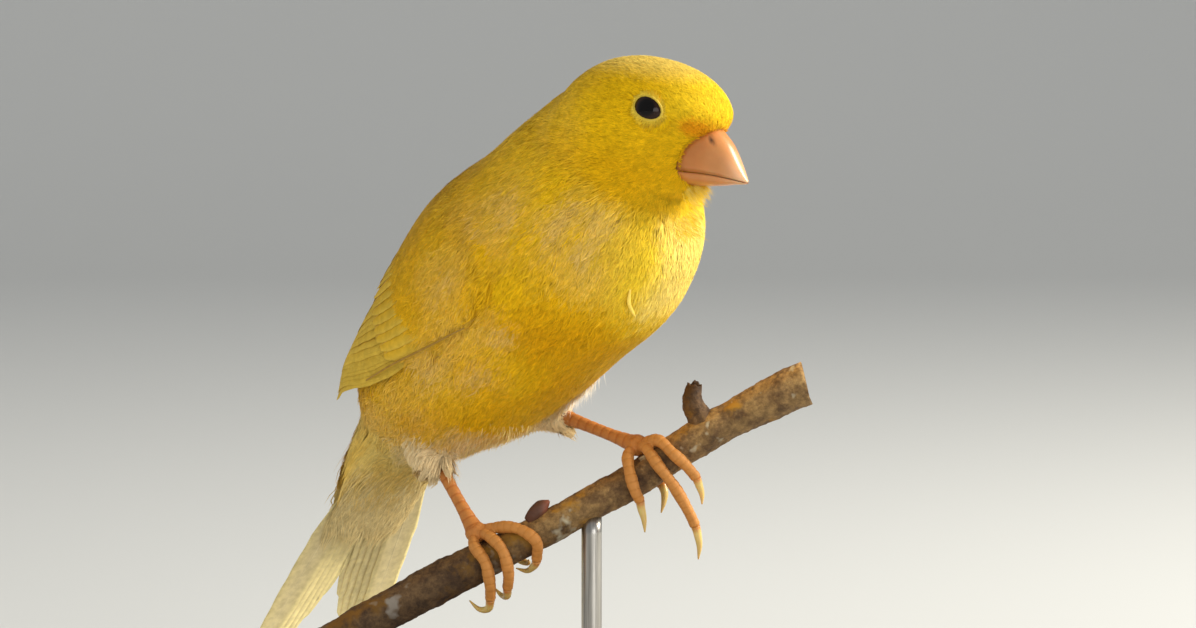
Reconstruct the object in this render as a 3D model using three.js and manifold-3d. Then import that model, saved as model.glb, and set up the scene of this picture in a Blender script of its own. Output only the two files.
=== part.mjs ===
// A yellow canary, life size, perched on a short cut length of branch that a plain stand holds.
// Millimetres, +Z up. The origin is the middle of the stand's base, on the floor.
// The branch runs along X and rises towards +X. The bird faces +X and is turned towards -Y.
import * as THREE from "three";
import { mergeVertices } from "three/addons/utils/BufferGeometryUtils.js";
import Module from "manifold-3d";

const wasm = await Module();
wasm.setup();

const { degToRad, lerp, clamp, smoothstep } = THREE.MathUtils;

// Clearance between two pieces that touch
const gap = 0.3;

// Where the body is and how it is held: yaw turns it towards -Y, pitch raises the breast
const bodyCentre = new THREE.Vector3(-10.7, 2, 74.2);
const bodyYaw = degToRad(46);
const bodyPitch = degToRad(46);

// The trunk, station by station along the body's axis from the tail coverts to the throat:
// s is the distance along the axis, rise moves the section towards the back,
// half is its half width, back and belly are its half depths
const trunkStations = [
  { s: -38, rise: 2.6, half: 8.0, back: 6.2, belly: 6.8 },
  { s: -32, rise: 2.0, half: 12.0, back: 8.7, belly: 9.5 },
  { s: -26.4, rise: 2.2, half: 15.5, back: 11.4, belly: 12.4 },
  { s: -20, rise: 1.1, half: 17.8, back: 14.2, belly: 15.0 },
  { s: -13.4, rise: 0.7, half: 18.9, back: 15.9, belly: 16.3 },
  { s: -6.2, rise: 0.3, half: 19.4, back: 17.8, belly: 17.8 },
  { s: 2.1, rise: -0.3, half: 19.8, back: 18.8, belly: 19.0 },
  { s: 9.8, rise: -1.8, half: 19.4, back: 19.3, belly: 19.7 },
  { s: 15.8, rise: -3.0, half: 18.2, back: 19.0, belly: 19.4 },
  { s: 21.2, rise: -3.0, half: 16.6, back: 18.3, belly: 18.8 },
  { s: 25.8, rise: -2.5, half: 14.8, back: 17.3, belly: 17.7 },
  { s: 29.2, rise: -1.6, half: 13.0, back: 16.0, belly: 15.6 },
  { s: 33, rise: 0.6, half: 11.0, back: 12.4, belly: 11.6 },
  { s: 37, rise: 2.0, half: 8.5, back: 8.8, belly: 8.2 },
];
const rumpEnd = -29;
const neckStart = 20;
const trunkSides = 30;
const trunkStep = 3;

// The head's middle in the bird's frame, its turn against the trunk and its tilt
const headCentre = new THREE.Vector3(25.4, 1.5, 26.1);
const headTurn = degToRad(16);
const headPitch = degToRad(-10);
// The head's and the bill's sections along the way they face
const headStations = [
  { f: -13.2, top: 1.0, bottom: -4.5, half: 3.0 },
  { f: -12.2, top: 3.6, bottom: -7.2, half: 6.0 },
  { f: -10, top: 6.3, bottom: -9.6, half: 8.2 },
  { f: -6.5, top: 8.7, bottom: -11.2, half: 9.7 },
  { f: -2.5, top: 9.9, bottom: -11.6, half: 10.2 },
  { f: 1.5, top: 10.2, bottom: -11.2, half: 10.1 },
  { f: 5.5, top: 9.8, bottom: -10.3, half: 9.5 },
  { f: 9, top: 8.7, bottom: -9.3, half: 8.5 },
  { f: 11.5, top: 7.0, bottom: -8.4, half: 7.3 },
  { f: 13, top: 4.9, bottom: -7.7, half: 6.0 },
  { f: 13.8, top: 2.9, bottom: -6.9, half: 4.7 },
];
const billStations = [
  { f: 8.8, top: 0.2, bottom: -7.0, half: 3.9 },
  { f: 10.5, top: 1.5, bottom: -7.5, half: 4.2 },
  { f: 12.6, top: 2.0, bottom: -7.2, half: 3.9 },
  { f: 14.2, top: 1.1, bottom: -6.9, half: 3.3 },
  { f: 15.85, top: -0.3, bottom: -6.5, half: 2.6 },
  { f: 17.6, top: -2.6, bottom: -6.0, half: 1.75 },
  { f: 18.8, top: -4.3, bottom: -5.75, half: 0.9 },
  { f: 19.4, top: -5.1, bottom: -5.5, half: 0.3 },
];
// The line of the mouth, from the corner to the tip
const mouthCorner = { f: 9.6, u: -5.3 };
const mouthTip = { f: 19.6, u: -5.4 };
const nostril = { f: 13.2, u: 0, out: 2.95, radius: 0.5 };
const eye = { f: 4.8, u: 3.2, out: 6.9, radius: 2.9, lidRadius: 2.75, lidThickness: 0.5 };

// The wing: how deep its bed lies in the flank, and its lower edge as an angle round the trunk
// (0 at the side, 90 along the back)
const wingInset = 2.6;
const wingLowerEdge = [
  { s: -40, angle: 56 },
  { s: -34, angle: 42 },
  { s: -29.6, angle: 26 },
  { s: -23.5, angle: -1 },
  { s: -12.3, angle: -18 },
  { s: 8, angle: -21 },
  { s: 19, angle: -10 },
];

// The tail
const tailYaw = degToRad(54);
const tailPitch = degToRad(53);
// The length of the middle pair; each next feather outwards runs further, so the end is forked
const rectrixLength = 24.5;
// How far the fan lies to the left at its root
const tailShift = 0.9;
const rectricesPerSide = 6;

const skinYellow = 0xe3b523;
const colours = {
  plumage: { color: skinYellow, roughness: 0.85, metalness: 0 },
  wing: { color: 0xe6c95a, roughness: 0.8, metalness: 0 },
  tail: { color: 0xdccb8a, roughness: 0.8, metalness: 0 },
  bill: { color: 0xdf9d7f, roughness: 0.45, metalness: 0 },
  eye: { color: 0x140b08, roughness: 0.06, metalness: 0 },
  leg: { color: 0xd9824f, roughness: 0.55, metalness: 0 },
  claw: { color: 0xd9c08a, roughness: 0.4, metalness: 0 },
  bark: { color: 0x8d7763, roughness: 0.9, metalness: 0 },
  base: { color: 0x5a4634, roughness: 0.45, metalness: 0 },
  rod: { color: 0xb9b4a8, roughness: 0.3, metalness: 0.9 },
};

// Reads a smooth curve through the rows of a table at one station
function between(rows, at, key, value) {
  const last = rows.length - 1;
  if (value <= rows[0][at]) return rows[0][key];
  if (value >= rows[last][at]) return rows[last][key];
  const i = rows.findIndex((row) => row[at] > value) - 1;
  const slope = (j) => {
    const a = rows[clamp(j - 1, 0, last)];
    const b = rows[clamp(j + 1, 0, last)];
    return (b[key] - a[key]) / (b[at] - a[at]);
  };
  const span = rows[i + 1][at] - rows[i][at];
  const t = (value - rows[i][at]) / span;
  const t2 = t * t;
  const t3 = t2 * t;
  return (
    (2 * t3 - 3 * t2 + 1) * rows[i][key] +
    (t3 - 2 * t2 + t) * span * slope(i) +
    (3 * t2 - 2 * t3) * rows[i + 1][key] +
    (t3 - t2) * span * slope(i + 1)
  );
}

// A closed body through rings of equal size, with a fan at each end
function skinRings(rings) {
  const sides = rings[0].length;
  const points = rings.flat();
  const middle = (ring) =>
    ring.reduce((sum, p) => sum.add(p), new THREE.Vector3()).divideScalar(sides);
  const first = points.push(middle(rings[0])) - 1;
  const last = points.push(middle(rings[rings.length - 1])) - 1;
  const faces = [];
  for (let i = 0; i < sides; i++) {
    const j = (i + 1) % sides;
    for (let k = 0; k + 1 < rings.length; k++) {
      const a = k * sides;
      faces.push(a + i, a + j, a + sides + j, a + i, a + sides + j, a + sides + i);
    }
    const end = (rings.length - 1) * sides;
    faces.push(first, j, i, last, end + i, end + j);
  }
  const geometry = new THREE.BufferGeometry().setFromPoints(points);
  geometry.setIndex(faces);
  return geometry;
}

// A geometry as a solid, whichever way its faces turn
function toSolid(geometry) {
  const bare = geometry.clone();
  bare.deleteAttribute("normal");
  bare.deleteAttribute("uv");
  const merged = mergeVertices(bare, 1e-4);
  const build = (triVerts) =>
    new wasm.Manifold(
      new wasm.Mesh({
        numProp: 3,
        vertProperties: new Float32Array(merged.attributes.position.array),
        triVerts,
      }),
    );
  const triangles = new Uint32Array(merged.index.array);
  const solid = build(triangles);
  return solid.volume() > 0 ? solid : build(triangles.slice().reverse());
}

const ringSolid = (rings) => toSolid(skinRings(rings));

// Joins solids and keeps the largest closed surface
function join(solids) {
  const all = solids.reduce((sum, solid) => sum.add(solid));
  return largest(all);
}

function largest(solid) {
  return solid.decompose().reduce((best, one) => (one.volume() > best.volume() ? one : best));
}

// A named mesh from a solid
function meshOf(name, solid, look) {
  const made = solid.getMesh();
  const geometry = new THREE.BufferGeometry();
  geometry.setAttribute("position", new THREE.BufferAttribute(made.vertProperties, 3));
  geometry.setIndex(new THREE.BufferAttribute(made.triVerts, 1));
  const flat = geometry.toNonIndexed();
  flat.computeVertexNormals();
  const mesh = new THREE.Mesh(flat, new THREE.MeshStandardMaterial(colours[look]));
  mesh.name = name;
  return mesh;
}

// The trunk in the bird's frame: x forwards, y to its left, z up

const trunkAlong = new THREE.Vector3(Math.cos(bodyPitch), 0, Math.sin(bodyPitch));
const trunkBack = new THREE.Vector3(-Math.sin(bodyPitch), 0, Math.cos(bodyPitch));
const trunkLeft = new THREE.Vector3(0, 1, 0);
const headSway = (s) => headCentre.y * smoothstep(s, 14, 34);

// How far the flank is let in under the folded wing
function wingBed(s, angle) {
  const up = angle > 90 ? 180 - angle : angle;
  const lower = between(wingLowerEdge, "s", "angle", s);
  const across = smoothstep(up, lower - 13, lower + 2) * (1 - smoothstep(up, 74, 88));
  const along = smoothstep(s, -34, -27) * (1 - smoothstep(s, 5, 19));
  return wingInset * across * along;
}

// A point of the trunk's surface; angle is 0 at the left side, 90 along the back, 180 at the right
function trunkPoint(s, angle, lift = 0) {
  const a = degToRad(angle);
  const depth = Math.sin(a) > 0 ? "back" : "belly";
  const grow = lift - wingBed(s, angle < -90 ? angle + 360 : angle);
  return new THREE.Vector3()
    .addScaledVector(trunkAlong, s)
    .addScaledVector(trunkBack, between(trunkStations, "s", "rise", s))
    .addScaledVector(trunkLeft, headSway(s))
    .addScaledVector(trunkLeft, Math.cos(a) * (between(trunkStations, "s", "half", s) + grow))
    .addScaledVector(trunkBack, Math.sin(a) * (between(trunkStations, "s", depth, s) + grow));
}

function trunkRing(s, lift = 0) {
  return Array.from({ length: trunkSides }, (_, i) => {
    const angle = -90 + (360 * i) / trunkSides;
    return trunkPoint(s, angle, lift);
  });
}

// Rings from one station to another; pieces cut from the trunk share the rings between
function trunkRings(from, to, lift = 0) {
  const stations = [from];
  for (let s = rumpEnd - 12; s < to - 0.5; s += trunkStep) {
    if (s > from + 0.5) stations.push(s);
  }
  return [...stations, to].map((s) => trunkRing(s, lift));
}

const wholeTrunk = (lift) => ringSolid(trunkRings(trunkStations[0].s, 37, lift));

// The tail's frame, at the end of the trunk

const trunkEnd = trunkStations[0];
const tailTurn = tailYaw - bodyYaw;
const tailAlong = new THREE.Vector3(
  -Math.cos(tailPitch) * Math.cos(tailTurn),
  Math.cos(tailPitch) * Math.sin(tailTurn),
  -Math.sin(tailPitch),
);
const tailLeft = new THREE.Vector3(Math.sin(tailTurn), Math.cos(tailTurn), 0);
const tailBack = new THREE.Vector3().crossVectors(tailLeft, tailAlong);
const tailRoot = new THREE.Vector3()
  .addScaledVector(trunkAlong, trunkEnd.s)
  .addScaledVector(trunkBack, trunkEnd.rise);
// Sections of the tail coverts, by distance past the trunk's end
const covertSections = [
  { out: 3.5, half: 8.6, depth: 5.4 },
  { out: 7, half: 8.5, depth: 4.2 },
  { out: 11, half: 8.2, depth: 2.6 },
];

function tailPoint(out, side, rise) {
  return tailRoot
    .clone()
    .addScaledVector(tailAlong, out)
    .addScaledVector(tailLeft, side)
    .addScaledVector(tailBack, rise);
}

function tailRing(out, half, depth, sides) {
  return Array.from({ length: sides }, (_, i) => {
    const a = degToRad(-90 + (360 * i) / sides);
    return tailPoint(out, half * Math.cos(a), depth * Math.sin(a));
  });
}

// Feathers

const longVane = [0, 0.4, 0.75, 0.93, 1];
const shortVane = [0, 0.5, 0.85, 1];
const vaneWidth = (t) => Math.max(0.16, Math.min(1, 0.55 + 2 * t) * Math.sqrt(1 - t ** 5));

// One feather as a thin blade. line(t) gives a point of the shaft, its outward normal and the way
// across it; roll lifts the near edge and lowers the far one, as overlapping feathers lie
function vane(line, steps, width, thickness, roll = 0) {
  const rings = steps.map((t) => {
    const { point, normal, side } = line(t);
    const half = (width / 2) * vaneWidth(t);
    const thick = thickness * lerp(1, 0.6, t * t);
    const corner = (across, up) =>
      point
        .clone()
        .addScaledVector(side, across * half)
        .addScaledVector(normal, up * thick - roll * across);
    return [corner(-1, -0.5), corner(1, -0.5), corner(1, 0.5), corner(-1, 0.5)];
  });
  return ringSolid(rings);
}

// A feather's shaft over the trunk, from (s, angle, lift) to (s, angle, lift), bent by way of via
function trunkLine(side, root, via, tip) {
  const curve = new THREE.CatmullRomCurve3([root, via, tip].map((p) => new THREE.Vector3(...p)));
  const place = (p) => trunkPoint(p.x, side > 0 ? p.y : 180 - p.y, p.z);
  return (t) => {
    const p = curve.getPoint(t);
    const ahead = curve.getPoint(Math.min(1, t + 0.02));
    const behind = curve.getPoint(Math.max(0, t - 0.02));
    const along = place(ahead).sub(place(behind)).normalize();
    const turned = new THREE.Vector3(p.x, p.y + 3, p.z);
    const across = place(turned).sub(place(p));
    across.addScaledVector(along, -across.dot(along)).normalize();
    const normal = new THREE.Vector3().crossVectors(along, across).multiplyScalar(side);
    return { point: place(p), normal, side: across };
  };
}

// The plate that the wing's feathers grow from
function wingPlate(side) {
  const rows = 5;
  const columns = 5;
  const rings = Array.from({ length: rows }, (_, k) => {
    const t = k / (rows - 1);
    const s = lerp(-9, 16, t);
    const low = between(wingLowerEdge, "s", "angle", s) + 5;
    const high = lerp(66, 60, t);
    const thick = lerp(1, 0.55, smoothstep(s, 6, 16));
    const row = (lift) =>
      Array.from({ length: columns }, (_, i) => {
        const angle = lerp(low, high, i / (columns - 1));
        return trunkPoint(s, side > 0 ? angle : 180 - angle, lift);
      });
    return [...row(0.4), ...row(0.4 + thick).reverse()];
  });
  return ringSolid(rings);
}

// Rows of wing feathers: each runs from its first feather, outermost, to its last, innermost.
// Each line is (s, angle, lift) of the shaft at its root, on its way and at its tip
const wingRows = [
  {
    name: "primaries",
    count: 6,
    width: 5.8,
    roll: 0.3,
    steps: longVane,
    first: [[0, -11, 1.0], [-17, -1, 1.2], [-34.5, 38, 4.2]],
    last: [[-5, 3, 1.1], [-13, 13, 1.4], [-27.5, 47, 2.6]],
  },
  {
    name: "secondaries",
    count: 5,
    width: 7,
    roll: 0.34,
    steps: longVane,
    first: [[-5, 8, 1.1], [-11, 16, 1.5], [-24, 43, 2.4]],
    last: [[-6, 42, 1.1], [-11, 49, 1.6], [-20.5, 61, 2.2]],
  },
  {
    name: "tertials",
    count: 2,
    width: 6.2,
    roll: 0.34,
    steps: shortVane,
    first: [[-6, 48, 1.2], [-11, 55, 1.8], [-17.5, 65, 2.2]],
    last: [[-2, 60, 1.2], [-6, 65, 1.9], [-11, 70, 2.2]],
  },
  {
    name: "greater_coverts",
    count: 6,
    width: 7.6,
    roll: 0.36,
    steps: shortVane,
    first: [[3, -11, 1.2], [-2, -8, 1.8], [-8, -3, 2.3]],
    last: [[2, 56, 1.2], [-2, 60, 1.9], [-6, 65, 2.4]],
  },
  {
    name: "median_coverts",
    count: 5,
    width: 8,
    roll: 0.34,
    steps: shortVane,
    first: [[11, -6, 1.0], [7, -5, 1.7], [1, -3, 2.5]],
    last: [[10, 51, 1.0], [6, 55, 1.9], [1, 60, 2.7]],
  },
];
const wingVaneThickness = 0.5;

function mixPoint(a, b, t) {
  return a.map((value, i) => lerp(value, b[i], t));
}

function wing(side) {
  const pieces = [wingPlate(side)];
  for (const row of wingRows) {
    for (let i = 0; i < row.count; i++) {
      const t = i / (row.count - 1);
      const [root, via, tip] = row.first.map((point, k) => mixPoint(point, row.last[k], t));
      const line = trunkLine(side, root, via, tip);
      pieces.push(vane(line, row.steps, row.width, wingVaneThickness, row.roll));
    }
  }
  return largest(join(pieces).subtract(wholeTrunk(gap)));
}

// The tail: six feathers a side, the middle pair on top and each half splayed from the other
function tail() {
  const start = covertSections[covertSections.length - 1];
  const from = start.out + gap;
  const rootBlock = ringSolid([
    tailRing(from, start.half, start.depth, 16),
    tailRing(from + 3.5, start.half - 0.4, 1.5, 16),
    tailRing(from + 7, start.half - 0.9, 0.5, 16),
  ]);
  const pieces = [rootBlock];
  for (const side of [-1, 1]) {
    for (let i = 0; i < rectricesPerSide; i++) {
      const splay = degToRad(2.8 + 0.84 * i);
      const length = rectrixLength + 4.6 * i - 0.3 * i * i;
      const rise = 0.9 - 0.36 * i;
      const rootSide = 1.2 + 0.95 * i;
      const line = (t) => {
        const out = from + 0.4 + length * Math.cos(splay) * t;
        const across = side * (rootSide + length * Math.sin(splay) * t) + tailShift * (1 - t);
        const bow = 1.1 * t * (1 - t);
        return {
          point: tailPoint(out, across, rise + bow),
          normal: tailBack,
          side: tailLeft,
        };
      };
      pieces.push(vane(line, longVane, 5.4, 0.55));
    }
  }
  return join(pieces);
}

// The rump: the end of the trunk, drawn out over the root of the tail
function rump() {
  const rings = trunkRings(trunkEnd.s, rumpEnd - gap);
  const coverts = covertSections
    .map(({ out, half, depth }) => tailRing(out, half, depth, trunkSides))
    .reverse();
  return ringSolid([...coverts, ...rings]);
}

// The head and the bill, in the bird's frame

const headForward = new THREE.Vector3(
  Math.cos(headPitch) * Math.cos(headTurn),
  Math.cos(headPitch) * Math.sin(headTurn),
  Math.sin(headPitch),
);
const headLeft = new THREE.Vector3(-Math.sin(headTurn), Math.cos(headTurn), 0);
const headUp = new THREE.Vector3().crossVectors(headForward, headLeft);

function headPoint(f, left, u) {
  return headCentre
    .clone()
    .addScaledVector(headForward, f)
    .addScaledVector(headLeft, left)
    .addScaledVector(headUp, u);
}

// The share of the head's width that is left where the face narrows to the bill's root
function faceShare(f, u) {
  const level = smoothstep(u, -9.5, -6) * (1 - smoothstep(u, -0.5, 3));
  return 1 - 0.52 * smoothstep(f, 3.5, 10) * level;
}

const wholeWidth = () => 1;

// A body of upright sections along the head's own axis
function headLoft(stations, count, sides, grow = 0, share = wholeWidth) {
  const firstF = stations[0].f - grow;
  const lastF = stations[stations.length - 1].f;
  const rings = Array.from({ length: count + 1 }, (_, k) => {
    // closer sections towards the front, where the forehead turns
    const f = lerp(firstF, lastF, Math.sin((Math.PI / 2) * (k / count)));
    const at = (key) => between(stations, "f", key, f);
    const middle = (at("top") + at("bottom")) / 2;
    const tall = (at("top") - at("bottom")) / 2 + grow;
    return Array.from({ length: sides }, (_, i) => {
      const a = (2 * Math.PI * i) / sides;
      const u = middle + tall * Math.sin(a);
      return headPoint(f, (at("half") * share(f, u) + grow) * Math.cos(a), u);
    });
  });
  return ringSolid(rings);
}

const eyePoint = (side) => headPoint(eye.f, side * eye.out, eye.u);
// The way an eye looks: out, and a little forwards and up
const eyeGaze = (side) =>
  new THREE.Vector3()
    .addScaledVector(headLeft, side)
    .addScaledVector(headForward, 0.16)
    .addScaledVector(headUp, 0.26)
    .normalize();

function ball(radius, centre, sides = 16) {
  const geometry = new THREE.SphereGeometry(radius, sides, Math.round(sides * 0.7));
  geometry.translate(centre.x, centre.y, centre.z);
  return toSolid(geometry);
}

// The raised rim of skin and small feathers round an eye
function lid(side) {
  const geometry = new THREE.TorusGeometry(eye.lidRadius, eye.lidThickness, 6, 18);
  const gaze = eyeGaze(side);
  geometry.scale(1.06, 0.98, 1);
  const turn = new THREE.Quaternion().setFromUnitVectors(new THREE.Vector3(0, 0, 1), gaze);
  geometry.applyQuaternion(turn);
  const centre = eyePoint(side).addScaledVector(gaze, 1.75);
  geometry.translate(centre.x, centre.y, centre.z);
  return toSolid(geometry);
}

function head() {
  let solid = headLoft(headStations, 14, 26, 0, faceShare);
  for (const side of [-1, 1]) {
    solid = solid.add(lid(side)).subtract(ball(eye.radius + gap, eyePoint(side), 14));
  }
  return largest(solid.subtract(headLoft(billStations, 8, 14, gap)));
}

// A large block whose one face is the line of the mouth; sign 1 keeps what is above it
function mouthBlock(sign) {
  const slope = Math.atan2(mouthTip.u - mouthCorner.u, mouthTip.f - mouthCorner.f);
  const size = 40;
  const middle = { f: (mouthCorner.f + mouthTip.f) / 2, u: (mouthCorner.u + mouthTip.u) / 2 };
  const away = -sign * (size / 2 - gap / 2);
  const geometry = new THREE.BoxGeometry(size, size, size);
  const tilted = new THREE.Matrix4().makeRotationAxis(headLeft, -slope);
  const along = headForward.clone().applyMatrix4(tilted);
  const up = headUp.clone().applyMatrix4(tilted);
  const basis = new THREE.Matrix4().makeBasis(along, headLeft, up);
  const centre = headPoint(middle.f, 0, middle.u).addScaledVector(up, away);
  geometry.applyMatrix4(basis.setPosition(centre));
  return toSolid(geometry);
}

function bill(sign) {
  let solid = headLoft(billStations, 10, 14).subtract(mouthBlock(sign));
  if (sign > 0) {
    for (const side of [-1, 1]) {
      const hole = ball(nostril.radius, headPoint(nostril.f, side * nostril.out, nostril.u), 10);
      solid = solid.subtract(hole);
    }
  }
  return largest(solid);
}

// Tubes with a radius that changes along the way

function tube(points, radii, steps, sides, grow = 0) {
  const curve = new THREE.CatmullRomCurve3(points, false, "centripetal");
  const stations = radii.map((radius, i) => ({ at: i / (radii.length - 1), radius }));
  let side = new THREE.Vector3(0.31, 0.87, 0.2);
  const rings = Array.from({ length: steps + 1 }, (_, k) => {
    const t = k / steps;
    const along = curve.getTangentAt(t);
    side = side.clone().addScaledVector(along, -side.dot(along)).normalize();
    const up = new THREE.Vector3().crossVectors(along, side);
    const radius = between(stations, "at", "radius", t) + grow;
    const middle = curve.getPointAt(t);
    return Array.from({ length: sides }, (_, i) => {
      const a = (2 * Math.PI * i) / sides;
      return middle
        .clone()
        .addScaledVector(side, radius * Math.cos(a))
        .addScaledVector(up, radius * Math.sin(a));
    });
  });
  return ringSolid(rings);
}

// The branch: its centre line and radius, by x
const perchStations = [
  { x: -43, z: 16.9, radius: 3.2 },
  { x: -29.5, z: 24.8, radius: 3.2 },
  { x: -22.3, z: 28.6, radius: 3.2 },
  { x: -7.9, z: 35.9, radius: 2.75 },
  { x: -0.3, z: 40.2, radius: 2.7 },
  { x: 4.9, z: 42.7, radius: 2.8 },
  { x: 16, z: 50.2, radius: 2.9 },
  { x: 21.8, z: 53.4, radius: 2.95 },
  { x: 27.9, z: 56.6, radius: 3.3 },
  { x: 33.5, z: 59.2, radius: 3.5 },
];
const perchSides = 12;
const perchSteps = 18;

const perchCentre = (x) => new THREE.Vector3(x, 0, between(perchStations, "x", "z", x));
const perchRadius = (x) => between(perchStations, "x", "radius", x);

// A point on the branch: angle 0 is its top, 90 the side towards -Y, 180 its underside
function perchPoint(x, angle, lift) {
  const along = perchCentre(x + 0.1).sub(perchCentre(x - 0.1)).normalize();
  const front = new THREE.Vector3(0, -1, 0);
  const top = new THREE.Vector3().crossVectors(front, along).normalize();
  const a = degToRad(angle);
  const out = perchRadius(x) + lift;
  return perchCentre(x)
    .addScaledVector(top, out * Math.cos(a))
    .addScaledVector(front, out * Math.sin(a));
}

// The branch without its twigs, grown by lift
function perchLoft(lift) {
  const first = perchStations[0].x;
  const last = perchStations[perchStations.length - 1].x;
  const rings = Array.from({ length: perchSteps + 1 }, (_, k) => {
    const x = lerp(first, last, k / perchSteps);
    return Array.from({ length: perchSides }, (_, i) => {
      const angle = (360 * i) / perchSides;
      return perchPoint(x, angle, lift);
    });
  });
  return ringSolid(rings);
}

function perch() {
  // the stub of a side twig, and a bud
  const stub = tube(
    [perchPoint(18.2, 0, -2), perchPoint(18.4, 0, 2), new THREE.Vector3(15.9, -0.2, 59.8)],
    [2.4, 2.0, 1.9, 1.7],
    6,
    10,
  );
  const bud = tube(
    [perchPoint(-11, 10, -0.6), perchPoint(-9, 10, 0.7), perchPoint(-6.9, 10, 1.7)],
    [1.5, 1.7, 0.7],
    5,
    8,
  );
  return join([perchLoft(0), stub, bud]);
}

const bird = new THREE.Group();
bird.position.copy(bodyCentre);
bird.rotation.z = -bodyYaw;
bird.updateMatrixWorld(true);

// The legs. A foot's place on the branch is (x, angle, lift), and so is each point of its toes
const legs = {
  right: {
    heel: [-26, 8, 49],
    knee: [-19, 2, 58],
    hub: [-16.1, 4, 1.5],
    toes: {
      inner: {
        path: [[-13.6, 18, 1.25], [-10.6, 52, 1.2], [-9.0, 100, 1.2], [-10.2, 150, 1.3]],
        claw: [[-10.9, 168, 1.5], [-12.2, 184, 1.7], [-13.4, 190, 0.6]],
      },
      middle: {
        path: [[-14.6, 40, 1.3], [-13.7, 84, 1.3], [-14.4, 130, 2.0], [-15.6, 158, 2.9]],
        claw: [[-16.2, 171, 3.6], [-16.9, 183, 3.2], [-17.4, 192, 1.7]],
      },
      outer: {
        path: [[-17.0, 44, 1.2], [-16.6, 90, 1.2], [-17.4, 132, 2.1], [-18.4, 156, 3.2]],
        claw: [[-19.3, 169, 4.0], [-20.6, 179, 3.4], [-21.3, 182, 1.5]],
      },
      hallux: {
        path: [[-15.8, -28, 1.4], [-14.9, -62, 1.3], [-13.8, -94, 1.3], [-12.8, -120, 1.5]],
        claw: [[-12.3, -132, 1.9], [-11.7, -144, 1.8], [-11.4, -153, 0.8]],
      },
    },
  },
  left: {
    heel: [-6.2, 10, 53.8],
    knee: [-10, 7, 63],
    hub: [9.6, -4, 1.5],
    toes: {
      inner: {
        path: [[8.0, 24, 1.6], [7.0, 62, 1.3], [6.2, 104, 1.3], [6.0, 132, 1.5]],
        claw: [[5.6, 144, 2.2], [5.2, 151, 3.6], [4.6, 155, 5.4]],
      },
      middle: {
        path: [[10.4, 34, 1.3], [10.5, 88, 1.3], [10.6, 136, 2.6], [10.3, 157, 6.0], [9.9, 164, 8.6]],
        claw: [[9.6, 166, 9.6], [8.9, 168, 11.4], [7.9, 170, 13.0]],
      },
      outer: {
        path: [[12.2, 36, 1.3], [12.9, 84, 1.1], [13.4, 122, 1.4], [13.6, 148, 2.9]],
        claw: [[13.3, 156, 3.9], [12.9, 160, 5.2], [12.2, 162, 6.4]],
      },
      hallux: {
        path: [[9.6, -34, 1.4], [9.4, -72, 1.3], [9.2, -108, 1.3], [9.2, -138, 1.6]],
        claw: [[8.9, -152, 2.2], [8.2, -162, 3.0], [7.2, -168, 4.0]],
      },
    },
  },
};
const toeRadii = { root: 1.15, joint: 1.0, end: 0.85 };
const clawRadii = [0.72, 0.6, 0.4, 0.16];
const tarsusRadii = [1.5, 1.25, 1.15, 1.2, 1.55];

const onPerch = (p) => perchPoint(...p);

// Thick at each joint and pad, thinner between
function toeRadiusRow(count) {
  const row = [toeRadii.root];
  for (let i = 1; i < count; i++) {
    row.push(i % 2 ? toeRadii.end + 0.02 : toeRadii.joint);
  }
  row.push(toeRadii.end);
  return row;
}

const trunkOnPerch = wholeTrunk(gap).transform(bird.matrixWorld.elements);

function foot(leg, grow = 0) {
  const hub = onPerch(leg.hub);
  const heel = new THREE.Vector3(...leg.heel);
  const tarsus = tube([heel, heel.clone().lerp(hub, 0.5), hub], tarsusRadii, 5, 7, grow);
  const pad = ball(1.75 + grow, hub.clone(), 8);
  const toes = Object.values(leg.toes).map(({ path }) =>
    tube([hub, ...path.map(onPerch)], toeRadiusRow(6), 9, 6, grow),
  );
  const whole = join([tarsus, pad, ...toes]);
  return grow > 0 ? whole : largest(whole.subtract(trunkOnPerch).subtract(perchLoft(gap)));
}

// A claw goes on from the end of its toe, after the gap
function claw({ path, claw: bend }) {
  const toeEnd = onPerch(path[path.length - 1]);
  const bends = bend.map(onPerch);
  const away = bends[0].clone().sub(toeEnd).normalize();
  const root = toeEnd.addScaledVector(away, gap);
  return tube([root, ...bends], clawRadii, 5, 6);
}

// The feathered shank, from inside the belly to just past the heel
function shank(leg) {
  const toBird = (p) => bird.worldToLocal(new THREE.Vector3(...p));
  const knee = toBird(leg.knee);
  const heel = toBird(leg.heel);
  const hub = bird.worldToLocal(onPerch(leg.hub));
  const end = heel.clone().lerp(hub, 0.32);
  const shape = tube([knee, heel, end], [6.5, 5.2, 3.6, 2.3], 8, 14);
  const bones = foot(leg, gap);
  const inverse = bird.matrixWorld.clone().invert();
  const inBird = bones.transform(inverse.elements);
  return largest(shape.subtract(wholeTrunk(gap)).subtract(inBird));
}

const headSolid = head();
const neckTrunk = ringSolid(trunkRings(neckStart + gap, 37));
const neckSolid = largest(neckTrunk.subtract(headLoft(headStations, 14, 24, gap)));
const shanks = { right: shank(legs.right), left: shank(legs.left) };

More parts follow.
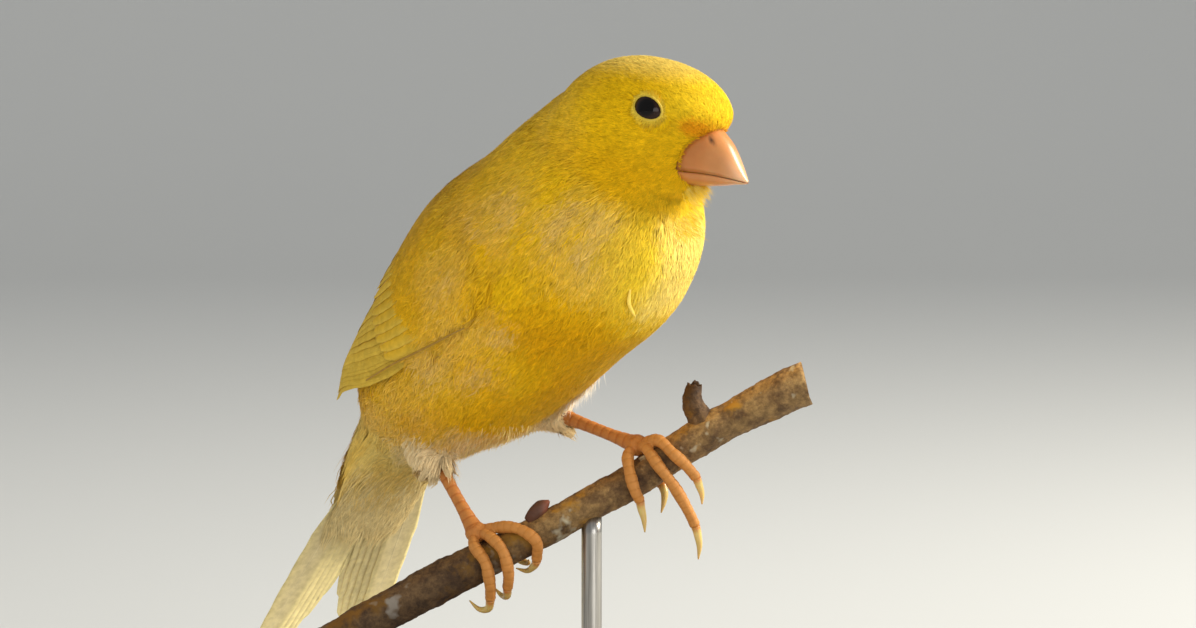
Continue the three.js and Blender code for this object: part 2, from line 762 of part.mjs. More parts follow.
bird.add(meshOf("head", headSolid, "plumage"));
bird.add(meshOf("neck", neckSolid, "plumage"));
bird.add(meshOf("torso", ringSolid(trunkRings(rumpEnd, neckStart)), "plumage"));
bird.add(meshOf("rump", rump(), "plumage"));
bird.add(meshOf("tail", tail(), "tail"));
bird.add(meshOf("wing_left", wing(1), "wing"));
bird.add(meshOf("wing_right", wing(-1), "wing"));
bird.add(meshOf("bill_upper", bill(1), "bill"));
bird.add(meshOf("bill_lower", bill(-1), "bill"));
for (const [name, side] of Object.entries({ left: 1, right: -1 })) {
  const ballMesh = new THREE.Mesh(
    new THREE.SphereGeometry(eye.radius, 16, 11),
    new THREE.MeshStandardMaterial(colours.eye),
  );
  ballMesh.name = `eye_${name}`;
  ballMesh.position.copy(eyePoint(side));
  bird.add(ballMesh);
  bird.add(meshOf(`leg_${name}`, shanks[name], "plumage"));
}

// The feet, the branch and the stand, in the part's own frame

const canary = new THREE.Group();
canary.add(bird);
for (const [name, leg] of Object.entries(legs)) {
  canary.add(meshOf(`foot_${name}`, foot(leg), "leg"));
  for (const [digit, toe] of Object.entries(leg.toes)) {
    canary.add(meshOf(`claw_${name}_${digit}`, claw(toe), "claw"));
  }
}
canary.add(meshOf("perch", perch(), "bark"));

// The stand: a round base with a bevelled rim, and one rod up to the branch
const base = { radius: 40, height: 6, bevel: 1.2 };
const rod = { radius: 1.6, x: 0, collarRadius: 3.4, collarHeight: 1.6 };

const baseProfile = [
  new THREE.Vector2(0, 0),
  new THREE.Vector2(base.radius - base.bevel * 0.5, 0),
  new THREE.Vector2(base.radius, base.bevel * 0.5),
  new THREE.Vector2(base.radius, base.height - base.bevel),
  new THREE.Vector2(base.radius - base.bevel, base.height),
  new THREE.Vector2(0, base.height),
];
const baseMesh = new THREE.Mesh(
  new THREE.LatheGeometry(baseProfile, 48),
  new THREE.MeshStandardMaterial(colours.base),
);
baseMesh.name = "stand_base";
baseMesh.rotation.x = Math.PI / 2;
canary.add(baseMesh);

function standRod() {
  const from = base.height + gap;
  const to = perchCentre(rod.x).z;
  const profile = [
    new THREE.Vector2(0, from),
    new THREE.Vector2(rod.collarRadius, from),
    new THREE.Vector2(rod.collarRadius, from + rod.collarHeight),
    new THREE.Vector2(rod.radius, from + rod.collarHeight + 0.6),
    new THREE.Vector2(rod.radius, to),
    new THREE.Vector2(0, to),
  ];
  const geometry = new THREE.LatheGeometry(profile, 20);
  geometry.rotateX(Math.PI / 2);
  geometry.translate(rod.x, 0, 0);
  return largest(toSolid(geometry).subtract(perchLoft(gap)));
}
canary.add(meshOf("stand_rod", standRod(), "rod"));

export default canary;
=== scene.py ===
"""A yellow canary on a short cut branch and a plain stand: its looks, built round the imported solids.

Shapes are worked out in millimetres in the bird's own frame (x forwards, y to its left, z up)
and turned into metres in the part's frame when a mesh is made.
"""

import math

import bpy
import numpy as np
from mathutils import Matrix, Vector, noise
from mathutils.bvhtree import BVHTree
from mathutils.kdtree import KDTree


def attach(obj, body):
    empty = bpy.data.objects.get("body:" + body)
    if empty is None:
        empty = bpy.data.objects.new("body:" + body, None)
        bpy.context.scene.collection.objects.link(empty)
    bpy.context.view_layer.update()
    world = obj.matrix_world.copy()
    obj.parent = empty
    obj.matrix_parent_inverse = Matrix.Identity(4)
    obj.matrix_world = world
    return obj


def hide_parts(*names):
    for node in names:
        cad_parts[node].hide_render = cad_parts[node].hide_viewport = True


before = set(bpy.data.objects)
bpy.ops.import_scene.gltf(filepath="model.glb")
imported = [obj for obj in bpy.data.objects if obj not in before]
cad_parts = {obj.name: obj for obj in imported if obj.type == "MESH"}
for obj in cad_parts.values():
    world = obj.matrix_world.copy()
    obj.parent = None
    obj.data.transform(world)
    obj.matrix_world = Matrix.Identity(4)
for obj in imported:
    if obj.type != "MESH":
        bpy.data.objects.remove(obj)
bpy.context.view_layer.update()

MM = 0.001

# The camera: the photograph's frame is 187 mm wide at the bird's distance
CAMERA_AIM = (1.0, 0.0, 70.0)
CAMERA_DISTANCE = 900.0
CAMERA_ELEVATION = math.radians(4)
FRAME_WIDTH = 186.9
SENSOR_WIDTH = 36.0


def add_camera():
    data = bpy.data.cameras.new("camera")
    data.sensor_width = SENSOR_WIDTH
    data.lens = SENSOR_WIDTH * CAMERA_DISTANCE / FRAME_WIDTH
    data.clip_end = 50
    camera = bpy.data.objects.new("camera", data)
    back = Vector((0, -math.cos(CAMERA_ELEVATION), math.sin(CAMERA_ELEVATION)))
    camera.location = (Vector(CAMERA_AIM) + back * CAMERA_DISTANCE) * MM
    camera.rotation_euler = (math.pi / 2 - CAMERA_ELEVATION, 0, 0)
    bpy.context.scene.collection.objects.link(camera)
    bpy.context.scene.camera = camera


add_camera()
bpy.context.scene.view_settings.view_transform = "Standard"

# The body's place and the named sizes of the solids

BODY_CENTRE = np.array([-10.7, 2.0, 74.2])
BODY_YAW = math.radians(46)
BODY_PITCH = math.radians(46)
HEAD_CENTRE = np.array([25.4, 1.5, 26.1])
HEAD_TURN = math.radians(16)
HEAD_PITCH = math.radians(-10)
TAIL_YAW = math.radians(54)
TAIL_PITCH = math.radians(53)

# Trunk sections: distance along the body, rise, half width, depth of the back, depth of the belly
TRUNK = np.array(
    [
        [-38, 2.6, 8.0, 6.2, 6.8],
        [-32, 2.0, 12.0, 8.7, 9.5],
        [-26.4, 2.2, 15.5, 11.4, 12.4],
        [-20, 1.1, 17.8, 14.2, 15.0],
        [-13.4, 0.7, 18.9, 15.9, 16.3],
        [-6.2, 0.3, 19.4, 17.8, 17.8],
        [2.1, -0.3, 19.8, 18.8, 19.0],
        [9.8, -1.8, 19.4, 19.3, 19.7],
        [15.8, -3.0, 18.2, 19.0, 19.4],
        [21.2, -3.0, 16.6, 18.3, 18.8],
        [25.8, -2.5, 14.8, 17.3, 17.7],
        [29.2, -1.6, 13.0, 16.0, 15.6],
        [33, 0.6, 11.0, 12.4, 11.6],
        [37, 2.0, 8.5, 8.8, 8.2],
    ]
)
# Head sections: distance forwards, top, bottom, half width
HEAD = np.array(
    [
        [-13.2, 1.0, -4.5, 3.0],
        [-12.2, 3.6, -7.2, 6.0],
        [-10, 6.3, -9.6, 8.2],
        [-6.5, 8.7, -11.2, 9.7],
        [-2.5, 9.9, -11.6, 10.2],
        [1.5, 10.2, -11.2, 10.1],
        [5.5, 9.8, -10.3, 9.5],
        [9, 8.7, -9.3, 8.5],
        [11.5, 7.0, -8.4, 7.3],
        [13, 4.9, -7.7, 6.0],
        [13.8, 2.9, -6.9, 4.7],
    ]
)
# Bill sections: distance forwards, top, bottom, half width
BILL = np.array(
    [
        [8.8, 0.2, -7.0, 3.9],
        [10.5, 1.5, -7.5, 4.2],
        [12.6, 2.0, -7.2, 3.9],
        [14.2, 1.1, -6.9, 3.3],
        [15.85, -0.3, -6.5, 2.6],
        [17.6, -2.6, -6.0, 1.75],
        [18.8, -4.3, -5.75, 0.9],
        [19.4, -5.1, -5.5, 0.3],
    ]
)
MOUTH_CORNER = (9.6, -5.3)
MOUTH_TIP = (19.6, -5.4)
# The nostril's distance forwards and height
NOSTRIL = (13.2, 0.0)
EYE = (4.8, 6.9, 3.2)
EYE_RADIUS = 2.9
# The wing's lower edge: angle round the trunk, by distance along the body
WING_EDGE = np.array(
    [[-40, 56], [-34, 42], [-29.6, 26], [-23.5, -1], [-12.3, -18], [8, -21], [19, -10]]
)
# Tail coverts: distance past the trunk's end, half width, half depth
COVERTS = np.array(
    [
        [3.5, 8.6, 5.4],
        [7, 8.5, 4.2],
        [11, 8.3, 2.8],
        [14.8, 8.2, 1.8],
        [18, 8.1, 1.2],
        [24, 8.0, 0.9],
        [30, 8.0, 0.8],
    ]
)
# How many of these the skin reaches over
SKIN_END = 5
# The branch: x, height, radius
PERCH = np.array(
    [
        [-43, 16.9, 3.2],
        [-29.5, 24.8, 3.2],
        [-22.3, 28.6, 3.2],
        [-7.9, 35.9, 2.75],
        [-0.3, 40.2, 2.7],
        [4.9, 42.7, 2.8],
        [16, 50.2, 2.9],
        [21.8, 53.4, 2.95],
        [27.9, 56.6, 3.3],
        [33.5, 59.2, 3.5],
    ]
)

# Where along the branch it swells
PERCH_NODES = (-37.5, -24.0, 1.5, 18.5, 29.5)

COAT_DEPTH = 0.9
HEAD_COAT_DEPTH = 0.6
HEAD_SKIN_INSET = 0.2
# Half the side of a feather's patch on the unwrapped skin, and the most triangles in a piece
PATCH = 0.0015
PIECE_LIMIT = 180000
rng = np.random.default_rng(11)


# Numbers and vectors


def smooth(x, low, high):
    t = np.clip((np.asarray(x, float) - low) / (high - low), 0, 1)
    return t * t * (3 - 2 * t)


def mix(a, b, t):
    return a + (b - a) * t


def track(table, column, x):
    """A smooth curve through one column of a table, by its first column."""
    xs = table[:, 0]
    ys = table[:, column]
    slopes = np.empty_like(ys)
    slopes[1:-1] = (ys[2:] - ys[:-2]) / (xs[2:] - xs[:-2])
    slopes[0] = (ys[1] - ys[0]) / (xs[1] - xs[0])
    slopes[-1] = (ys[-1] - ys[-2]) / (xs[-1] - xs[-2])
    x = np.clip(x, xs[0], xs[-1])
    i = np.clip(np.searchsorted(xs, x, side="right") - 1, 0, len(xs) - 2)
    span = xs[i + 1] - xs[i]
    t = (x - xs[i]) / span
    t2 = t * t
    t3 = t2 * t
    return (
        (2 * t3 - 3 * t2 + 1) * ys[i]
        + (t3 - 2 * t2 + t) * span * slopes[i]
        + (3 * t2 - 2 * t3) * ys[i + 1]
        + (t3 - t2) * span * slopes[i + 1]
    )


def unit(v):
    v = np.asarray(v, float)
    return v / np.maximum(np.linalg.norm(v, axis=-1, keepdims=True), 1e-9)


def dot(a, b):
    return np.sum(a * b, axis=-1, keepdims=True)


def turns(sides):
    """Angles round a ring, in radians."""
    return np.linspace(0, 2 * np.pi, sides, endpoint=False)


def kd_tree(points):
    tree = KDTree(len(points))
    for i, p in enumerate(points):
        tree.insert(p, i)
    tree.balance()
    return tree


def flat_rows(*arrays):
    """Each array as rows of its last axis."""
    return [v.reshape(-1, v.shape[-1]) for v in arrays]


def repeated(faces, count, step):
    """The triangles of one item repeated for count items of step points."""
    return (faces[None] + (np.arange(count) * step)[:, None, None]).reshape(-1, 3)


def srgb(r, g, b):
    c = np.array([r, g, b], float) / 255
    return np.where(c <= 0.04045, c / 12.92, ((c + 0.055) / 1.055) ** 2.4)


# The bird's frame and the body's surfaces


def turned(v):
    c, s = math.cos(BODY_YAW), math.sin(BODY_YAW)
    v = np.asarray(v, float)
    x, y, z = v[..., 0], v[..., 1], v[..., 2]
    return np.stack([x * c + y * s, -x * s + y * c, z], -1)


def to_part(points):
    """Bird frame to the part's frame, in mm."""
    return turned(points) + BODY_CENTRE


def to_bird(points):
    """The part's frame to the bird frame, in mm."""
    p = np.asarray(points, float) - BODY_CENTRE
    c, s = math.cos(BODY_YAW), math.sin(BODY_YAW)
    x, y, z = p[..., 0], p[..., 1], p[..., 2]
    return np.stack([x * c - y * s, x * s + y * c, z], -1)


ALONG = np.array([math.cos(BODY_PITCH), 0, math.sin(BODY_PITCH)])
BACK = np.array([-math.sin(BODY_PITCH), 0, math.cos(BODY_PITCH)])
LEFT = np.array([0.0, 1.0, 0.0])

FORWARD = np.array(
    [
        math.cos(HEAD_PITCH) * math.cos(HEAD_TURN),
        math.cos(HEAD_PITCH) * math.sin(HEAD_TURN),
        math.sin(HEAD_PITCH),
    ]
)
HEAD_LEFT = np.array([-math.sin(HEAD_TURN), math.cos(HEAD_TURN), 0])
HEAD_UP = np.cross(FORWARD, HEAD_LEFT)

TAIL_TURN = TAIL_YAW - BODY_YAW
TAIL_ALONG = np.array(
    [
        -math.cos(TAIL_PITCH) * math.cos(TAIL_TURN),
        math.cos(TAIL_PITCH) * math.sin(TAIL_TURN),
        -math.sin(TAIL_PITCH),
    ]
)
TAIL_LEFT = np.array([math.sin(TAIL_TURN), math.cos(TAIL_TURN), 0])
TAIL_BACK = np.cross(TAIL_LEFT, TAIL_ALONG)
TAIL_ROOT = ALONG * TRUNK[0, 0] + BACK * TRUNK[0, 1]


def outer(a, v):
    return np.asarray(a, float)[..., None] * v


def opposite(angle, side):
    """An angle round the trunk, or its mirror image when side is -1."""
    return angle if side > 0 else 180 - angle


def from_angle(angle, middle):
    """How many degrees an angle round the trunk is from a middle between 0 and 360."""
    return np.abs(np.where(angle < 0, angle + 360, angle) - middle)


def trunk_point(s, angle, lift=0.0):
    """angle is 0 at the left side, 90 along the back and 180 at the right side."""
    s, angle, lift = np.broadcast_arrays(*[np.asarray(v, float) for v in (s, angle, lift)])
    a = np.radians(angle)
    depth = np.where(np.sin(a) > 0, track(TRUNK, 3, s), track(TRUNK, 4, s))
    sway = HEAD_CENTRE[1] * smooth(s, 14, 34)
    return (
        outer(s, ALONG)
        + outer(track(TRUNK, 1, s) + np.sin(a) * (depth + lift), BACK)
        + outer(sway + np.cos(a) * (track(TRUNK, 2, s) + lift), LEFT)
    )


def head_point(f, left, up):
    f, left, up = np.broadcast_arrays(*[np.asarray(v, float) for v in (f, left, up)])
    return HEAD_CENTRE + outer(f, FORWARD) + outer(left, HEAD_LEFT) + outer(up, HEAD_UP)


def head_coordinates(p):
    d = p - HEAD_CENTRE
    return d @ FORWARD, d @ HEAD_LEFT, d @ HEAD_UP


def trunk_coordinates(p):
    s = p @ ALONG
    sway = HEAD_CENTRE[1] * smooth(s, 14, 34)
    up = p @ BACK - track(TRUNK, 1, s)
    return s, np.degrees(np.arctan2(up, p @ LEFT - sway))


def tail_point(out, side, rise):
    out, side, rise = np.broadcast_arrays(*[np.asarray(v, float) for v in (out, side, rise)])
    return TAIL_ROOT + outer(out, TAIL_ALONG) + outer(side, TAIL_LEFT) + outer(rise, TAIL_BACK)


def perch_point(x, angle, lift):
    """In the part's frame. angle is 0 on top, 90 towards the camera's side, 180 below."""
    x, angle, lift = np.broadcast_arrays(*[np.asarray(v, float) for v in (x, angle, lift)])
    centre = np.stack([x, 0 * x, track(PERCH, 1, x)], -1)
    slope = track(PERCH, 1, x + 0.1) - track(PERCH, 1, x - 0.1)
    along = unit(np.stack([0.2 + 0 * x, 0 * x, slope], -1))
    front = np.array([0.0, -1.0, 0.0])
    top = unit(np.cross(np.broadcast_to(front, along.shape), along))
    a = np.radians(angle)
    out = track(PERCH, 2, x) + lift
    return centre + top * (out * np.cos(a))[..., None] + front * (out * np.sin(a))[..., None]


# Meshes


def ring_faces(count, sides, closed=True):
    """Triangles of a loft through rings, with a fan over each end."""
    i = np.arange(sides)
    j = (i + 1) % sides
    faces = []
    for k in range(count - 1):
        a = k * sides
        faces.append(np.stack([a + i, a + j, a + sides + j], -1))
        faces.append(np.stack([a + i, a + sides + j, a + sides + i], -1))
    if closed:
        first = count * sides
        end = (count - 1) * sides
        faces.append(np.stack([np.full(sides, first), j, i], -1))
        faces.append(np.stack([np.full(sides, first + 1), end + i, end + j], -1))
    return np.concatenate(faces)


def loft(rings):
    """Points and triangles of a closed loft; rings has the shape (count, sides, 3)."""
    rings = np.asarray(rings, float)
    count, sides = rings.shape[:2]
    ends = np.stack([rings[0].mean(0), rings[-1].mean(0)])
    return np.concatenate([rings.reshape(-1, 3), ends]), ring_faces(count, sides)


def gather(parts):
    """Joins (points, triangles) pairs."""
    points, faces, start = [], [], 0
    for p, f in parts:
        points.append(p)
        faces.append(f + start)
        start += len(p)
    return np.concatenate(points), np.concatenate(faces)


def make_object(name, points, faces, material, colour=None, uv=None, normals=None):
    """points are in mm in the part's frame; colour, uv and normals are per point."""
    mesh = bpy.data.meshes.new(name)
    mesh.vertices.add(len(points))
    mesh.vertices.foreach_set("co", (np.asarray(points) * MM).astype(np.float32).ravel())
    mesh.loops.add(len(faces) * 3)
    mesh.loops.foreach_set("vertex_index", np.asarray(faces, np.int32).ravel())
    mesh.polygons.add(len(faces))
    mesh.polygons.foreach_set("loop_start", np.arange(0, len(faces) * 3, 3, dtype=np.int32))
    mesh.update(calc_edges=True)
    if colour is not None:
        layer = mesh.color_attributes.new("paint", "FLOAT_COLOR", "POINT")
        rgba = np.ones((len(points), 4), np.float32)
        rgba[:, :3] = colour
        layer.data.foreach_set("color", rgba.ravel())
    if uv is not None:
        layer = mesh.uv_layers.new(name="OFBake")
        corners = np.asarray(faces).ravel()
        layer.data.foreach_set("uv", np.asarray(uv, np.float32)[corners].ravel())
    mesh.shade_smooth()
    if normals is not None:
        mesh.normals_split_custom_set_from_vertices(unit(normals).tolist())
    mesh.materials.append(material)
    item = bpy.data.objects.new(name, mesh)
    bpy.context.scene.collection.objects.link(item)
    return item


def remeshed(points, faces, voxel, smoothing):
    """One closed surface round overlapping closed pieces, in mm."""
    mesh = bpy.data.meshes.new("draft")
    mesh.from_pydata((points * MM).tolist(), [], faces.tolist())
    item = bpy.data.objects.new("draft", mesh)
    bpy.context.scene.collection.objects.link(item)
    remesh = item.modifiers.new("remesh", "REMESH")
    remesh.mode = "VOXEL"
    remesh.voxel_size = voxel * MM
    if smoothing:
        relax = item.modifiers.new("relax", "SMOOTH")
        relax.factor = 0.5
        relax.iterations = smoothing
    done = item.evaluated_get(bpy.context.evaluated_depsgraph_get()).to_mesh()
    done.calc_loop_triangles()
    out = np.empty(len(done.vertices) * 3, np.float32)
    done.vertices.foreach_get("co", out)
    tris = np.empty(len(done.loop_triangles) * 3, np.int32)
    done.loop_triangles.foreach_get("vertices", tris)
    bpy.data.objects.remove(item)
    bpy.data.meshes.remove(mesh)
    return out.reshape(-1, 3).astype(float) / MM, tris.reshape(-1, 3)


def point_normals(points, faces):
    a, b, c = (points[faces[:, k]] for k in range(3))
    face = np.cross(b - a, c - a)
    total = np.zeros_like(points)
    for k in range(3):
        np.add.at(total, faces[:, k], face)
    return unit(total)


def tube_rings(points, radii, steps, sides):
    """Rings round a smooth line through points, with radii spread along it."""
    points = np.asarray(points, float)
    steps_in = np.sqrt(np.linalg.norm(np.diff(points, axis=0), axis=1))
    knots = np.concatenate([[0], np.cumsum(steps_in)])
    t = np.linspace(0, knots[-1], 12 * steps)
    dense = np.stack([track(np.stack([knots, points[:, k]], 1), 1, t) for k in range(3)], -1)
    lengths = np.concatenate([[0], np.cumsum(np.linalg.norm(np.diff(dense, axis=0), axis=1))])
    at = np.linspace(0, lengths[-1], steps + 1)
    centre = np.stack([np.interp(at, lengths, dense[:, k]) for k in range(3)], -1)
    tangent = unit(np.gradient(centre, axis=0))
    radii = np.asarray(radii, float)
    table = np.stack([np.linspace(0, lengths[-1], len(radii)), radii], 1)
    radius = track(table, 1, at)
    side = np.array([0.31, 0.87, 0.2])
    rings = []
    turn = turns(sides)
    for k in range(steps + 1):
        side = unit(side - tangent[k] * (side @ tangent[k]))
        up = np.cross(tangent[k], side)
        circle = np.cos(turn)[:, None] * side + np.sin(turn)[:, None] * up
        rings.append(centre[k] + radius[k] * circle)
    return np.array(rings), centre, at


# Materials


def shader_inputs(made):
    return made.node_tree.nodes["Principled BSDF"].inputs


def material(name, roughness=0.6, **sockets):
    made = bpy.data.materials.new(name)
    made.use_nodes = True
    inputs = shader_inputs(made)
    inputs["Roughness"].default_value = roughness
    for key, value in sockets.items():
        inputs[key.replace("_", " ")].default_value = value
    return made


def set_colour(made, source):
    made.node_tree.links.new(source, shader_inputs(made)["Base Color"])


def add_node(made, kind, **values):
    item = made.node_tree.nodes.new(kind)
    for key, value in values.items():
        if hasattr(item, key):
            setattr(item, key, value)
        else:
            item.inputs[key.replace("_", " ")].default_value = value
    return item


def ramp(made, source, stops):
    item = made.node_tree.nodes.new("ShaderNodeValToRGB")
    elements = item.color_ramp.elements
    while len(elements) < len(stops):
        elements.new(0.5)
    for element, (position, colour) in zip(elements, stops):
        element.position = position
        element.color = (*colour, 1)
    made.node_tree.links.new(source, item.inputs["Fac"])
    return item.outputs["Color"]


def noise_texture(made, scale, detail, vector, roughness=0.55):
    item = add_node(made, "ShaderNodeTexNoise", Scale=scale, Detail=detail, Roughness=roughness)
    made.node_tree.links.new(vector, item.inputs["Vector"])
    return item.outputs["Fac"]


def object_position(made):
    return add_node(made, "ShaderNodeTexCoord").outputs["Object"]


def painted_colour(made):
    """The colours that are stored on the points of a mesh."""
    return add_node(made, "ShaderNodeAttribute", attribute_name="paint").outputs["Color"]


def bump(made, height, strength, distance):
    links = made.node_tree.links
    item = add_node(made, "ShaderNodeBump", Strength=strength, Distance=distance)
    links.new(height, item.inputs["Height"])
    links.new(item.outputs["Normal"], shader_inputs(made)["Normal"])


def blend_colour(made, a, b, factor, mode="MIX"):
    """Each of a and b is a socket or a colour; factor is a socket or a number."""
    item = made.node_tree.nodes.new("ShaderNodeMix")
    item.data_type = "RGBA"
    item.blend_type = mode
    for socket, value in ((item.inputs[6], a), (item.inputs[7], b)):
        if isinstance(value, bpy.types.NodeSocket):
            made.node_tree.links.new(value, socket)
        else:
            socket.default_value = (*value, 1)
    if isinstance(factor, bpy.types.NodeSocket):
        made.node_tree.links.new(factor, item.inputs[0])
    else:
        item.inputs[0].default_value = factor
    return item.outputs[2]


SHEEN = {"Sheen_Roughness": 0.45, "Sheen_Tint": (1.0, 0.86, 0.35, 1), "Specular_IOR_Level": 0.1}


def plumage_material(name, sheen):
    made = material(name, 0.72, Sheen_Weight=sheen, **SHEEN)
    paint = painted_colour(made)
    grain = noise_texture(made, 900, 2, object_position(made))
    shade = ramp(made, grain, [(0.3, (0.86, 0.84, 0.8)), (0.7, (1.08, 1.07, 1.05))])
    set_colour(made, blend_colour(made, paint, shade, 1.0, "MULTIPLY"))
    return made


PLUMAGE = plumage_material("plumage", 0.07)
FLIGHT = plumage_material("flight_feathers", 0.06)


def finished(item, slot, *replaced):
    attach(item, "root")
    if replaced:
        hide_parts(*replaced)
    return item


# The skin: one surface inside the coat

# Middle lines of the feathered leg tops, in the part's frame: thigh, heel and lower end
LEG_TOPS = {
    "right": [(-19, 2, 58), (-26, 8, 49), (-23.1, 5.0, 45.3)],
    "left": [(-11, 7, 62), (-7.4, 10, 54.8), (-4.2, 8.7, 52.9)],
}
LEG_TOP_RADII = [6.0, 4.6, 3.0, 1.7]


def trunk_skin():
    turn = np.linspace(-90, 270, 64, endpoint=False)
    body = [trunk_point(s, turn, -COAT_DEPTH) for s in np.linspace(-38, 37, 61)]
    a = np.radians(turn)
    tail = []
    for out, half, depth in COVERTS[:SKIN_END][::-1]:
        inset = min(COAT_DEPTH, 0.5 * depth)
        tail.append(tail_point(out, (half - inset) * np.cos(a), (depth - inset) * np.sin(a)))
    return loft(np.array(tail + body))


def face_share(f, up):
    """The share of the head's width that is left where the face narrows to the bill's root."""
    level = smooth(up, -11, -5) * (1 - smooth(up, -1, 5))
    return 1 - 0.5 * smooth(f, 1.5, 10.5) * level


def face_set_back(f, up):
    """How far the face lies back below the forehead, round the bill's root."""
    return np.minimum(0.6 * np.maximum(3.2 - up, 0), 2.2) * smooth(f, 8, 13)


def head_skin():
    turn = turns(56)
    rings = []
    for f in mix(HEAD[0, 0], HEAD[-1, 0], np.sin(np.linspace(0, np.pi / 2, 40))):
        top, bottom, half = (track(HEAD, k, f) for k in (1, 2, 3))
        tall = (top - bottom) / 2 - HEAD_SKIN_INSET
        up = (top + bottom) / 2 + tall * np.sin(turn)
        wide = half * face_share(f, up) - HEAD_SKIN_INSET
        rings.append(head_point(f - face_set_back(f, up), wide * np.cos(turn), up))
    return loft(np.array(rings))


def build_skin():
    parts = [trunk_skin(), head_skin()]
    for line in LEG_TOPS.values():
        rings, _, _ = tube_rings(to_bird(np.array(line)), LEG_TOP_RADII, 16, 24)
        parts.append(loft(rings))
    return remeshed(*gather(parts), 0.6, 14)


def eye_frame(side):
    centre = head_point(EYE[0], side * EYE[1], EYE[2])
    gaze = unit(HEAD_LEFT * side + FORWARD * 0.16 + HEAD_UP * 0.26)
    across = unit(FORWARD - gaze * (FORWARD @ gaze))
    return centre, gaze, across, np.cross(gaze, across)


def sink_eyes(points):
    """Presses the skin in under each eyeball."""
    for side in (-1, 1):
        centre, gaze, _, _ = eye_frame(side)
        d = points - centre
        h = d @ gaze
        rho = np.linalg.norm(d - outer(h, gaze), axis=1)
        ball = np.sqrt(np.maximum(EYE_RADIUS**2 - rho**2, 0)) - 0.5
        near = (rho < 2.5) & (h > 0)
        drop = np.where(near, np.minimum(ball - h, 0), 0)
        points = points + outer(drop, gaze)
    return points


skin_points, skin_faces = build_skin()
skin_points = sink_eyes(skin_points)
skin_normals = point_normals(skin_points, skin_faces)
skin_tree = BVHTree.FromPolygons(skin_points.tolist(), skin_faces.tolist())


def nearest(points):
    """The closest points of the skin and their smooth normals."""
    flat = points.reshape(-1, 3)
    place = np.empty_like(flat)
    normal = np.empty_like(flat)
    for i, p in enumerate(flat):
        where, _, face, _ = skin_tree.find_nearest(p)
        place[i] = where
        normal[i] = skin_normals[skin_faces[face]].sum(0)
    return place.reshape(points.shape), unit(normal).reshape(points.shape)


# Markings: one rule for skin and coat, from the place on the body

GOLD = srgb(240, 193, 14)
DEEP_GOLD = srgb(226, 162, 4)
BRIGHT = srgb(255, 222, 44)
FROST = srgb(226, 187, 76)
ROSE_FROST = srgb(230, 192, 116)
CREAM = srgb(252, 226, 120)
# Near white cream, partly painted light: on the breast's edge and on the down over the left leg
PALE_WITH_PAINTED_LIGHT = srgb(255, 247, 236)
VENT = srgb(234, 206, 118)
DOWN = srgb(250, 240, 214)
DOWN_SHADE = srgb(246, 222, 176)
ORANGE = srgb(242, 150, 14)
TAIL_GREY = srgb(246, 229, 176)
TAIL_EDGE = srgb(250, 232, 166)

# Pale patches on the trunk: distance along the body, angle above the side, size in mm
PALE_PATCHES = [
    (18.9, 10, 5.0),
    (25.9, -28, 4.5),
    (26.3, -44, 4.0),
    (6.1, 0, 3.5),
    (0.6, -19, 3.0),
    (6.3, -33, 2.5),
    (-3.1, -43, 3.5),
    (-7.3, -19, 3.5),
    (-21.2, -18, 6.5),
    (-29.1, -38, 5.0),
]


def soft_noise(points, scale, seed=0.0):
    out = np.empty(len(points))
    for i, p in enumerate(points):
        out[i] = noise.noise(Vector((p[0] * scale + seed, p[1] * scale, p[2] * scale)))
    return out


def leg_share(p, close, far):
    """1 at the feathered end of either shank, 0 away from it."""
    share = np.zeros(len(p))
    for line in LEG_TOPS.values():
        _, heel, end = to_bird(np.array(line, float))
        near = np.linalg.norm(p - mix(heel, end, 0.4), axis=1)
        share = np.maximum(share, 1 - smooth(near, close, far))
    return share


def down_share(p):
    """1 where pale down hangs out along the lower edge of the belly."""
    s, angle = trunk_coordinates(p)
    low = 1 - smooth(from_angle(angle, 258), 14, 36)
    share = low * smooth(-s, 15, 20) * (1 - smooth(-s, 25, 30))
    wedge = np.linalg.norm(p - trunk_point(-7.5, -58), axis=1)
    return np.maximum(share, 1 - smooth(wedge, 2.5, 4.5))


def head_share(p):
    """1 on the head, 0 on the trunk."""
    f, left, up = head_coordinates(p)
    r = np.sqrt((f / 13.5) ** 2 + (left / 10.5) ** 2 + ((up + 0.7) / 11.2) ** 2)
    return 1 - smooth(r, 1.08, 1.4)


